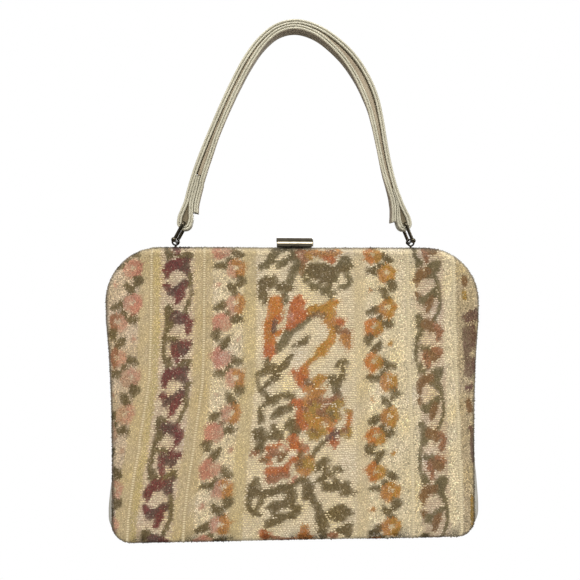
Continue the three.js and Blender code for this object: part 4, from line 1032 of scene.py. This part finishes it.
pileParts = (("left", -300, -55), ("middle", -55, 45), ("right", 45, 300))
for side, name, node in ((-1, "front", "front_panel"), (1, "back", "back_panel")):
    cloth = clothWall(name + "_cloth", side)
    seat(cloth, "bag", [node], backing)
    sorts = [pileYarns(side, kind) + (yarnFacets(kind),) for kind in (loopKind, grainKind, tuftKind)]
    for part, low, high in pileParts:
        batches = []
        for across, yarns, shadedTints, facets in sorts:
            pick = (across >= low) & (across < high)
            batches.append((yarns[pick], shadedTints[pick], facets))
        piece = pilePiece(f"{name}_pile_{part}", batches)
        seat(piece, "bag", [], pileFinish)
        print(piece.name, len(piece.data.polygons), "faces")
    print(name, "cloth and pile made,", [len(sort[0]) for sort in sorts], "loops, grains and tufts")


# Gusset, in mm
gussetSpec = {"thick": 1.5, "tuck": 1.0, "inset": 0.6, "start": 79.0, "sag": 0.8, "fit": 0.3, "baseSteps": 28,
              "cornerSteps": 14, "sideSteps": 44, "underPower": 2.5, "seamFrom": 0.64,
              "crease": 0.35, "creaseLength": 5.3, "creaseSlant": 2.1, "creaseFade": 17}
# drop, left bulge, right bulge
bulges = [(79, 0, 0), (110, -2.6, -1.6), (130, -3, 1), (149, -2.4, 5.4), (172, 2, 8), (192, 7, 10),
          (208, 8.8, 11.2), (233, 8.8, 10.8)]
# across the strip: at 1 it meets the wall, at 2 it is tucked behind it
gussetAcross = np.array([-2, -1, -0.94, -0.86, -0.75, -0.6, -0.45, -0.3, -0.15, 0,
                         0.15, 0.3, 0.45, 0.6, 0.75, 0.86, 0.94, 1, 2])


def gussetPiece():
    # from the middle of the base, round the corner and up the side, then mirrored
    foot = wall["height"] - wall["foot"]
    flatHalf = sideLine[-1][1] - wall["foot"]
    turn = np.linspace(np.pi / 2, 0, gussetSpec["cornerSteps"])
    base = np.linspace(0, flatHalf, gussetSpec["baseSteps"])[:-1]
    up = np.linspace(foot, gussetSpec["start"], gussetSpec["sideSteps"])[1:]
    x = np.concatenate([base, flatHalf + wall["foot"] * np.cos(turn), halfWidth(up)])
    drop = np.concatenate([np.full_like(base, wall["height"]), foot + wall["foot"] * np.sin(turn), up])
    x, drop = np.concatenate([-x[:0:-1], x]), np.concatenate([drop[:0:-1], drop])
    stepX, stepDrop = np.gradient(x), np.gradient(drop)
    size = np.hypot(stepX, stepDrop)
    outX, outDrop = -stepDrop / size, stepX / size
    rim = smoothLook(depths, 2, drop)
    bulge = np.where(x < 0, smoothLook(bulges, 1, drop), smoothLook(bulges, 2, drop))
    tucked = wall["thick"] + gussetSpec["inset"]
    lower = np.maximum(0, outDrop) ** gussetSpec["underPower"]
    seam = gussetSpec["seamFrom"]
    places = np.empty((len(x), len(gussetAcross), 3))
    for c, k in enumerate(gussetAcross):
        free = min(abs(k), 1)
        flat = 1 - max(0, (free - seam) / (1 - seam)) ** 2
        ripple = np.sin(drop / gussetSpec["creaseLength"] + gussetSpec["creaseSlant"] * k)
        crease = gussetSpec["crease"] * (1 - free**2) * ripple * np.sin(drop / gussetSpec["creaseFade"] + 1)
        rise = (bulge + crease) * (1 - free**2) * (1 - lower) + (tucked + gussetSpec["sag"]) * flat * lower
        stand = rise - tucked
        reach = rim + gussetSpec["tuck"] if abs(k) > 1 else (rim - gussetSpec["fit"]) * free
        low = np.minimum(drop + outDrop * stand, wall["height"] + gussetSpec["sag"])
        places[:, c] = np.column_stack([x + outX * stand, np.sign(k) * reach, -low])
    piece = gridPiece("gusset_vinyl", places + mouth)
    faceOut(piece, min(piece.data.polygons, key=lambda f: f.center.z), (0, 0, -1))
    applyStep(piece, "SOLIDIFY", thickness=gussetSpec["thick"] * mm, offset=-1.0)
    smoothBy(piece, 50)
    return piece


def vinylFinish(name, light, dark, gloss, grip=0.35):
    made = Nodes(name, Roughness=gloss, Specular_IOR_Level=0.4)
    stain = made.noise(60, 4.0)
    grain = made.noise(1100, 3.0)
    tone = made.ramp(stain, [(0.3, rgba(dark)), (0.7, rgba(light))])
    pores = made.ramp(grain, [(0.35, (0.84, 0.82, 0.8, 1)), (0.6, (1, 1, 1, 1))])
    made.colour(made.mix("MULTIPLY", grip, tone, pores))
    made.rough(grain, gloss - 0.1, gloss + 0.15)
    made.normal(made.bump(grain, grip / 2, 0.0002, made.bump(stain, grip / 2, 0.001)))
    return made.finish


gusset = gussetPiece()
seat(gusset, "bag", ["gusset"], vinylFinish("boneVinyl", (188, 185, 175), (168, 163, 151), 0.5))
print("gusset made")


# Handle strips, in mm; pairs are for the left and the right end
strap = {"width": 14.0, "thick": 3.8, "gap": 0.4, "back": (40.0, 30.0), "skive": (6.0, 26.0),
         "tailEnd": (0.85, 0.22), "facingEnds": (10.0, 4.0), "easeFrom": 1.0, "ease": 14.0, "slit": 0.55,
         "slitShare": 0.12, "groove": 1.1, "fillerShare": 0.5, "round": 0.85, "roundShare": 0.92}
stripSteps = {"outer": 190, "tails": (24, 18), "end": 20, "inner": 180, "gap": 150, "loop": 26, "corner": 18}
# line between the strips, from the left loop to the right one
handleLine = [(-89.9, -157.7), (-88.0, -147.6), (-83.6, -128.9), (-77.9, -110.6), (-71.3, -93.2),
              (-64.2, -76.1), (-56.8, -59.0), (-48.5, -41.6), (-39.2, -24.4), (-28.1, -9.3), (-14.6, 1.9),
              (1.0, 5.9), (18.0, 2.1), (33.5, -7.1), (47.8, -20.0), (59.0, -36.0), (66.9, -53.8),
              (71.2, -72.1), (74.3, -90.5), (77.7, -108.8), (82.2, -127.5), (88.2, -146.3), (91.5, -157.5)]
# distance from the end, then half the loop's opening at the left and the right
loopHalves = [(0, 4.3, 4), (4, 4.5, 4.1), (10, 3.3, 3), (18, 2.05, 2.05), (400, 2.05, 2.05)]
# share of the handle's length, then the twist there in degrees, and the gap between the strips in mm
turns = [(0, -2.5), (0.08, -4.5), (0.2, -6), (0.34, -4), (0.48, 0), (0.6, 5), (0.72, 10), (0.84, 12),
         (0.92, 8.5), (0.95, 3.5), (1, 2)]
stripGaps = [(0, 3.4), (0.14, 3.2), (0.2, 1.9), (0.28, 1.6), (0.36, 1.4), (0.42, 0.6), (0.47, 0.2),
             (0.51, 0.4), (0.545, 1.1), (0.58, 2.3), (0.61, 3.3), (0.65, 4.4), (0.7, 4.8), (0.72, 4.7),
             (0.76, 3.6), (0.8, 2.7), (0.84, 2), (0.88, 1.8), (0.92, 1.5), (1, 1.5)]


# Smooth line through the points
def roundedLine(points, steps=40):
    points = np.array(points, float)
    points = np.vstack([2 * points[0] - points[1], points, 2 * points[-1] - points[-2]])
    line = []
    for a, b, c, d in zip(points[:-3], points[1:-2], points[2:-1], points[3:]):
        ab, bc, cd = [np.linalg.norm(q - p) ** 0.5 for p, q in ((a, b), (b, c), (c, d))]
        leave = ((b - a) / ab - (c - a) / (ab + bc) + (c - b) / bc) * bc
        arrive = ((c - b) / bc - (d - b) / (bc + cd) + (d - c) / cd) * bc
        t = np.linspace(0, 1, steps, endpoint=False)[:, None]
        square, cube = 3 * (c - b) - 2 * leave - arrive, 2 * (b - c) + leave + arrive
        line.append(b + leave * t + square * t**2 + cube * t**3)
    return np.vstack([*line, points[-2]])


handlePath = roundedLine(handleLine)
handleRun = np.concatenate([[0], np.cumsum(np.linalg.norm(np.diff(handlePath, axis=0), axis=1))])
handleLength = handleRun[-1]
handleWay = np.gradient(handlePath, handleRun, axis=0)


# Place, direction along and direction out, at a length along the handle
def onHandle(along):
    place = np.array([np.interp(along, handleRun, handlePath[:, i]) for i in (0, 1)])
    way = np.array([np.interp(along, handleRun, handleWay[:, i]) for i in (0, 1)])
    way /= np.linalg.norm(way)
    return place, way, np.array([-way[1], way[0]])


def endColumn(along):
    return 1 if along < handleLength / 2 else 2


def fromEnd(along):
    return min(along, handleLength - along)


def loopHalf(along):
    return float(smoothLook(loopHalves, endColumn(along), fromEnd(along)))


def tailThick(along):
    end = endColumn(along) - 1
    left = strap["back"][end] - fromEnd(along)
    return strap["thick"] * min(max(left / strap["skive"][end], strap["tailEnd"][end]), 1)


def twistAt(along):
    return float(smoothLook(turns, 1, along / handleLength))


# station: middle of the strip, direction through it, thickness, twist
def sideStation(along, sign, reach, thick):
    place, _, out = onHandle(along)
    return place + out * sign * reach, out * sign, thick, twistAt(along)


def endStations(along):
    place, way, out = onHandle(along)
    beyond = -1 if along == 0 else 1
    stations = []
    for turn in np.linspace(0, np.pi, stripSteps["end"])[1:-1]:
        through = out * math.cos(turn) + way * math.sin(turn) * beyond
        stations.append((place + through * loopHalf(along), through, strap["thick"], twistAt(along)))
    return stations


def outerStations():
    def tail(s):
        thick = tailThick(s)
        return sideStation(s, -1, loopHalf(s) - strap["thick"] / 2 + thick / 2, thick)

    outer = np.linspace(0, handleLength, stripSteps["outer"])
    left, right = [np.linspace(0, back, steps) for back, steps in zip(strap["back"], stripSteps["tails"])]
    run = [sideStation(s, 1, loopHalf(s), strap["thick"]) for s in outer]
    return ([tail(s) for s in left[::-1]] + endStations(0)[::-1] + run
            + endStations(handleLength) + [tail(handleLength - s) for s in right])


# Near side of the inner strip: close behind the tail at the ends, then away by the gap
def facingNear(along):
    beside = loopHalf(along) - strap["thick"] / 2 + tailThick(along) + strap["gap"]
    under = strap["gap"] / 2 + float(smoothLook(stripGaps, 1, along / handleLength))
    past = fromEnd(along) - strap["back"][endColumn(along) - 1] - strap["easeFrom"]
    k = min(max(past / strap["ease"], 0), 1)
    return beside + (under - beside) * k * k * (3 - 2 * k)


def innerStations():
    left, right = strap["facingEnds"]
    run = np.linspace(left, handleLength - right, stripSteps["inner"])
    return [sideStation(s, -1, facingNear(s) + strap["thick"] / 2, strap["thick"]) for s in run]


# Rounded section of a layer of the handle, thick through it and wide across it
def layerRing(centre, through, thick, wide, turn):
    half, across = thick / 2, wide / 2
    corner = min(strap["round"], half * strap["roundShare"])
    slant = math.radians(turn)
    ring = []
    corners = ((0, across, half), (90, -across, half), (180, -across, -half), (270, across, -half))
    for start, a, b in corners:
        for degrees in range(start, start + 91, stripSteps["corner"]):
            t = math.radians(degrees)
            aside = a - math.copysign(corner, a) + corner * math.cos(t)
            out = b - math.copysign(corner, b) + corner * math.sin(t)
            ring.append((centre[0] + through[0] * out + math.sin(slant) * aside, math.cos(slant) * aside,
                         centre[1] + through[1] * out))
    return ring


# One ply of a strip: layer 1 is the outer ply, -1 the inner, 0 the filler between them
def plyRing(station, layer):
    middle, through, thick, turn = station
    slit = min(strap["slit"], thick * strap["slitShare"])
    if layer == 0:
        wide = strap["width"] - 2 * strap["groove"]
        return layerRing(middle, through, thick * strap["fillerShare"], wide, turn)
    ply = (thick - slit) / 2
    return layerRing(middle + through * layer * (ply + slit) / 2, through, ply, strap["width"], turn)


def stripPiece(name, stations):
    plies = [ringPiece(f"{name}_{layer + 1}", [plyRing(s, layer) for s in stations]) for layer in (1, 0, -1)]
    piece = joinInto(plies[0], plies[1:])
    piece.name = piece.data.name = name
    smoothBy(piece, 45)
    return piece


# Filling between the strips and in the end loops, and the suede under the inner strip, in mm; the felt of the
# filling is coloured partly as painted shade
filling = {"recess": 1.7, "deep": 4.2, "from": (41.0, 29.0), "coreFrom": (12.0, 6.0), "clear": 0.2,
           "least": 0.12, "lap": 0.3, "sink": 0.05, "loopRecess": 2.2, "loopFrom": -2.0, "loopTo": 19.0,
           "loopClear": 0.06, "loopLeast": 0.04, "suede": 0.3, "suedeRecess": 0.3, "suedeShort": 0.4}


# Far side of the turned-back tail, or 0 past its end
def tailFar(along):
    if fromEnd(along) > strap["back"][endColumn(along) - 1]:
        return 0
    return loopHalf(along) - strap["thick"] / 2 + tailThick(along)


# share is how much of the gap behind the inner strip the layer fills
def gapStations(ends, share, lap):
    stations = []
    for s in np.linspace(ends[0], handleLength - ends[1], stripSteps["gap"]):
        near = facingNear(s)
        thick = max((near - tailFar(s)) * share + lap, filling["least"])
        stations.append(sideStation(s, -1, near - thick / 2 + filling["sink"], thick))
    return stations


def loopStations(end):
    inside = loopHalf(0 if end < 0 else handleLength) - strap["thick"] / 2
    stations = []
    for s in np.linspace(filling["loopFrom"], filling["loopTo"], stripSteps["loop"]):
        along = max(s, 0) if end < 0 else handleLength - max(s, 0)
        thick = 2 * (loopHalf(along) - strap["thick"] / 2) - filling["loopClear"]
        if s < 0:
            thick = 2 * math.sqrt(max(inside**2 - s**2, filling["loopLeast"]))
        place, through, thick, turn = sideStation(along, 1, 0, thick)
        stations.append((place + onHandle(along)[1] * min(s, 0) * -end, through, thick, turn))
    return stations


def suedeStations():
    left, right = [end + filling["suedeShort"] for end in strap["facingEnds"]]
    reach = strap["thick"] + filling["suede"] / 2 - filling["sink"]
    run = np.linspace(left, handleLength - right, stripSteps["inner"])
    return [sideStation(s, -1, facingNear(s) + reach, filling["suede"]) for s in run]


def fillingPiece(name, stations, wide):
    rings = [layerRing(place, through, thick, wide, turn) for place, through, thick, turn in stations]
    piece = ringPiece(name, rings)
    smoothBy(piece, 45)
    return piece


strapVinyl = vinylFinish("strapVinyl", (177, 171, 150), (161, 155, 134), 0.5, 0.12)
strips = (("outer_strip", "handle_strap", outerStations()), ("inner_strip", "handle_facing", innerStations()))
for name, node, stations in strips:
    seat(stripPiece(name, stations), "bag", [node], strapVinyl)
# the filler, core and loop linings are real layers, and their felt is also painted shade: the filler is
# coloured as seen in the shaded gap between the strips, the dark felt as the deep shade in the gap and inside
# the loops
shadedTaupeFelt = vinylFinish("shadedTaupeFelt", (160, 147, 124), (142, 128, 106), 0.8)
shadedDarkFelt = vinylFinish("shadedDarkFelt", (120, 108, 84), (94, 84, 64), 0.8)
suede = vinylFinish("taupeSuede", (152, 140, 120), (134, 122, 102), 0.85)
# name, stations, how far its edges stay back, finish
layers = [
    ("strip_shaded_filler", gapStations(filling["from"], 1 - filling["clear"], 0), filling["recess"], shadedTaupeFelt),
    ("strip_core_shade", gapStations(filling["coreFrom"], 1, filling["lap"]), filling["deep"], shadedDarkFelt),
    ("strip_backing", suedeStations(), filling["suedeRecess"], suede),
    ("left_loop_shaded_lining", loopStations(-1), filling["loopRecess"], shadedDarkFelt),
    ("right_loop_shaded_lining", loopStations(1), filling["loopRecess"], shadedDarkFelt),
]
for name, stations, recess, finish in layers:
    piece = fillingPiece(name, stations, strap["width"] - 2 * recess)
    seat(piece, "bag", [], finish)
print("handle strips made")


# Links, in mm
linkSpec = {"wire": 1.4, "pin": 1.2, "span": 9.4, "ball": 2.1, "barDrop": 0.3, "earX": 97.5, "pinZ": -172.0,
            "bend": 2.6, "turns": (1.0, 2.0), "pinPast": 2.0, "eyeSwell": 1.25}


# Rings of a round tube along a path
def tubeRings(path, radius, sides=18):
    path = np.asarray(path, float)
    way = np.gradient(path, axis=0)
    way /= np.linalg.norm(way, axis=1)[:, None]
    rings = []
    for point, along in zip(path, way):
        aside = (1, 0.03, 0.02) if abs(along[0]) < 0.9 else (0, 0, 1)  # never along the tube
        first = np.cross(along, aside)
        first /= np.linalg.norm(first)
        second = np.cross(along, first)
        turn = np.linspace(0, 2 * np.pi, sides, endpoint=False)
        rings.append(point + radius * (np.cos(turn)[:, None] * first + np.sin(turn)[:, None] * second))
    return rings


# Path through the points with its corners rounded off
def softCorners(points, radius, steps=7):
    points = [np.array(p, float) for p in points]
    path = [points[0]]
    for before, corner, after in zip(points[:-2], points[1:-1], points[2:]):
        a = corner + (before - corner) / np.linalg.norm(before - corner) * radius
        b = corner + (after - corner) / np.linalg.norm(after - corner) * radius
        for t in np.linspace(0, 1, steps):
            path.append((1 - t) ** 2 * a + 2 * t * (1 - t) * corner + t * t * b)
    path.append(points[-1])
    return np.array(path)


def ballPiece(name, place, radius):
    clearPick()
    bpy.ops.mesh.primitive_uv_sphere_add(
        segments=24, ring_count=16, radius=radius * mm, location=np.array(place) * mm)
    piece = bpy.context.object
    piece.name = name
    bpy.ops.object.transform_apply(location=True, rotation=True, scale=True)
    return piece


def linkPiece(name, hand):
    along = 0 if hand < 0 else handleLength
    end, way, _ = onHandle(along)
    bar = end + way * linkSpec["barDrop"] * hand
    pin = np.array([hand * linkSpec["earX"], linkSpec["pinZ"]])
    slant = math.radians(linkSpec["turns"][endColumn(along) - 1])

    def at(spot, across):
        return (spot[0] + math.sin(slant) * across, math.cos(slant) * across, spot[1])

    span, pinHalf = linkSpec["span"], linkSpec["span"] + linkSpec["pinPast"]
    wire = softCorners([at(pin, -span), at(bar, -span), at(bar, span), at(pin, span)], linkSpec["bend"])
    pinEnds = [at(pin, -pinHalf), at(pin, pinHalf)]
    piece = ringPiece(name, tubeRings(wire, linkSpec["wire"]))
    others = [ringPiece(name + "_pin", tubeRings(pinEnds, linkSpec["pin"]))]
    for spot in pinEnds:
        others.append(ballPiece(name + "_ball", spot, linkSpec["ball"]))
    for across in (-span, span):
        others.append(ballPiece(name + "_eye", at(pin, across), linkSpec["wire"] * linkSpec["eyeSwell"]))
    joinInto(piece, others)
    piece.data.name = name
    smoothBy(piece, 40)
    return piece


# Eye that the link's pin goes through, on a post out of the cloth
eyeSpec = {"ring": 2.75, "wire": 0.7, "drop": 0.85, "post": 1.0, "foot": -179.5}


def eyePiece(name, hand):
    centre = np.array([hand * linkSpec["earX"], 0, linkSpec["pinZ"] - eyeSpec["drop"]])
    clearPick()
    bpy.ops.mesh.primitive_torus_add(
        major_radius=eyeSpec["ring"] * mm, minor_radius=eyeSpec["wire"] * mm, major_segments=40,
        minor_segments=14, location=centre * mm, rotation=(math.pi / 2, 0, 0))
    piece = bpy.context.object
    bpy.ops.object.transform_apply(location=True, rotation=True, scale=True)
    low = centre - (0, 0, eyeSpec["ring"])
    post = ringPiece(name + "_post", tubeRings([low, (low[0], 0, eyeSpec["foot"])], eyeSpec["post"]))
    piece = joinInto(piece, [post])
    piece.name = piece.data.name = name
    smoothBy(piece, 40)
    return piece


def metalFinish(name, light, dark, gloss, scale):
    made = Nodes(name, Metallic=1.0, Roughness=gloss)
    worn = made.noise(scale, 3.0)
    made.colour(made.ramp(worn, [(0.35, rgba(dark)), (0.65, rgba(light))]))
    made.rough(worn, gloss * 0.8, gloss * 1.3)
    return made.finish


oldBrass = metalFinish("darkBrass", (88, 81, 66), (62, 56, 45), 0.13, 260)
leverBrass = metalFinish("leverBrass", (122, 114, 98), (104, 96, 80), 0.05, 180)
dullBrass = metalFinish("dullBrass", (96, 88, 71), (70, 63, 50), 0.36, 260)
railSteel = metalFinish("railSteel", (150, 150, 147), (110, 108, 102), 0.4, 300)
for make, kind, node in ((linkPiece, "_wire_link", "_link"), (eyePiece, "_eye", "_ear")):
    for end, hand in (("left", -1), ("right", 1)):
        seat(make(end + kind, hand), "bag", [end + node], oldBrass)
cadFinishes = {"clasp_base": dullBrass, "clasp_catch": dullBrass, "front_rail": railSteel,
               "back_rail": railSteel, "left_hinge": railSteel, "right_hinge": railSteel}
for node, finish in cadFinishes.items():
    coat(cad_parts[node], finish)
print("links and metal finishes made")


# Clasp lever, in mm and degrees, round the mouth's middle: an arched cover, and a tab down to its hinge tube
clasp = {"half": 14.75, "depth": 10.2, "rise": 8.5, "thick": 1.2, "bevel": 0.25, "start": 42.0, "stop": 177.0,
         "notch": 172.0, "notchHalf": 3.2, "notchSide": 0.01, "ends": (-1, -0.985, -0.95, -0.6, -0.3),
         "endDips": (0.35, 0.12), "tabHalf": 7.6, "tabStart": 20.0, "tabStop": 44.0, "tabSteps": 5,
         "archSteps": 44, "tubeY": 8.0, "tubeZ": 1.2, "tube": 1.9, "bore": 1.15, "tubeSteps": 33}


# Bent plate from a start to a stop in degrees, row by row across; dips lower its ends
def archPiece(name, start, stops, xs, dips):
    places = np.empty((len(xs), clasp["archSteps"], 3))
    for r, (x, stop, dip) in enumerate(zip(xs, stops, dips)):
        turn = np.radians(np.linspace(start, stop, clasp["archSteps"]))
        out, up = (clasp["depth"] - dip) * np.cos(turn), (clasp["rise"] - dip) * np.sin(turn)
        places[r] = np.column_stack([np.full_like(turn, x), out, up])
    piece = gridPiece(name, places + mouth)
    faceOut(piece, max(piece.data.polygons, key=lambda f: f.center.z), (0, 0, 1))
    applyStep(piece, "SOLIDIFY", thickness=clasp["thick"] * mm, offset=-1.0)
    applyStep(piece, "BEVEL", width=clasp["bevel"] * mm, segments=2, limit_method="ANGLE",
              angle_limit=math.radians(50))
    return piece


def tubePiece(name):
    half, bore, tube = clasp["tabHalf"], clasp["bore"], clasp["tube"]
    profile = [(-half, bore), (half, bore), (half, tube), (-half, tube), (-half, bore)]
    places = np.array([
        [(x, clasp["tubeY"] + r * math.cos(t), clasp["tubeZ"] + r * math.sin(t)) for x, r in profile]
        for t in np.linspace(0, 2 * np.pi, clasp["tubeSteps"])])
    piece = gridPiece(name, places + mouth)
    sew(piece)
    return piece


def leverPiece():
    ends = np.array(clasp["ends"]) * clasp["half"]
    notch = np.array([-clasp["notchHalf"] - clasp["notchSide"], -clasp["notchHalf"], 0])
    xs = np.concatenate([ends, notch, -notch[1::-1], -ends[::-1]])
    endDips = list(clasp["endDips"])
    dips = endDips + [0] * (len(xs) - 2 * len(endDips)) + endDips[::-1]
    stops = np.where(np.abs(xs) <= clasp["notchHalf"], clasp["notch"], clasp["stop"])
    cover = archPiece("lever_cover", clasp["start"], stops, xs, dips)
    count = clasp["tabSteps"]
    tabs = np.linspace(-1, 1, count) * clasp["tabHalf"]
    tab = archPiece("lever_tab", clasp["tabStart"], [clasp["tabStop"]] * count, tabs, [0] * count)
    piece = joinInto(cover, [tab, tubePiece("lever_tube")])
    piece.data.name = "lever_cover"
    smoothBy(piece, 40)
    return piece


seat(leverPiece(), "clasp_lever", ["clasp_lever"], leverBrass)
print("clasp lever made")
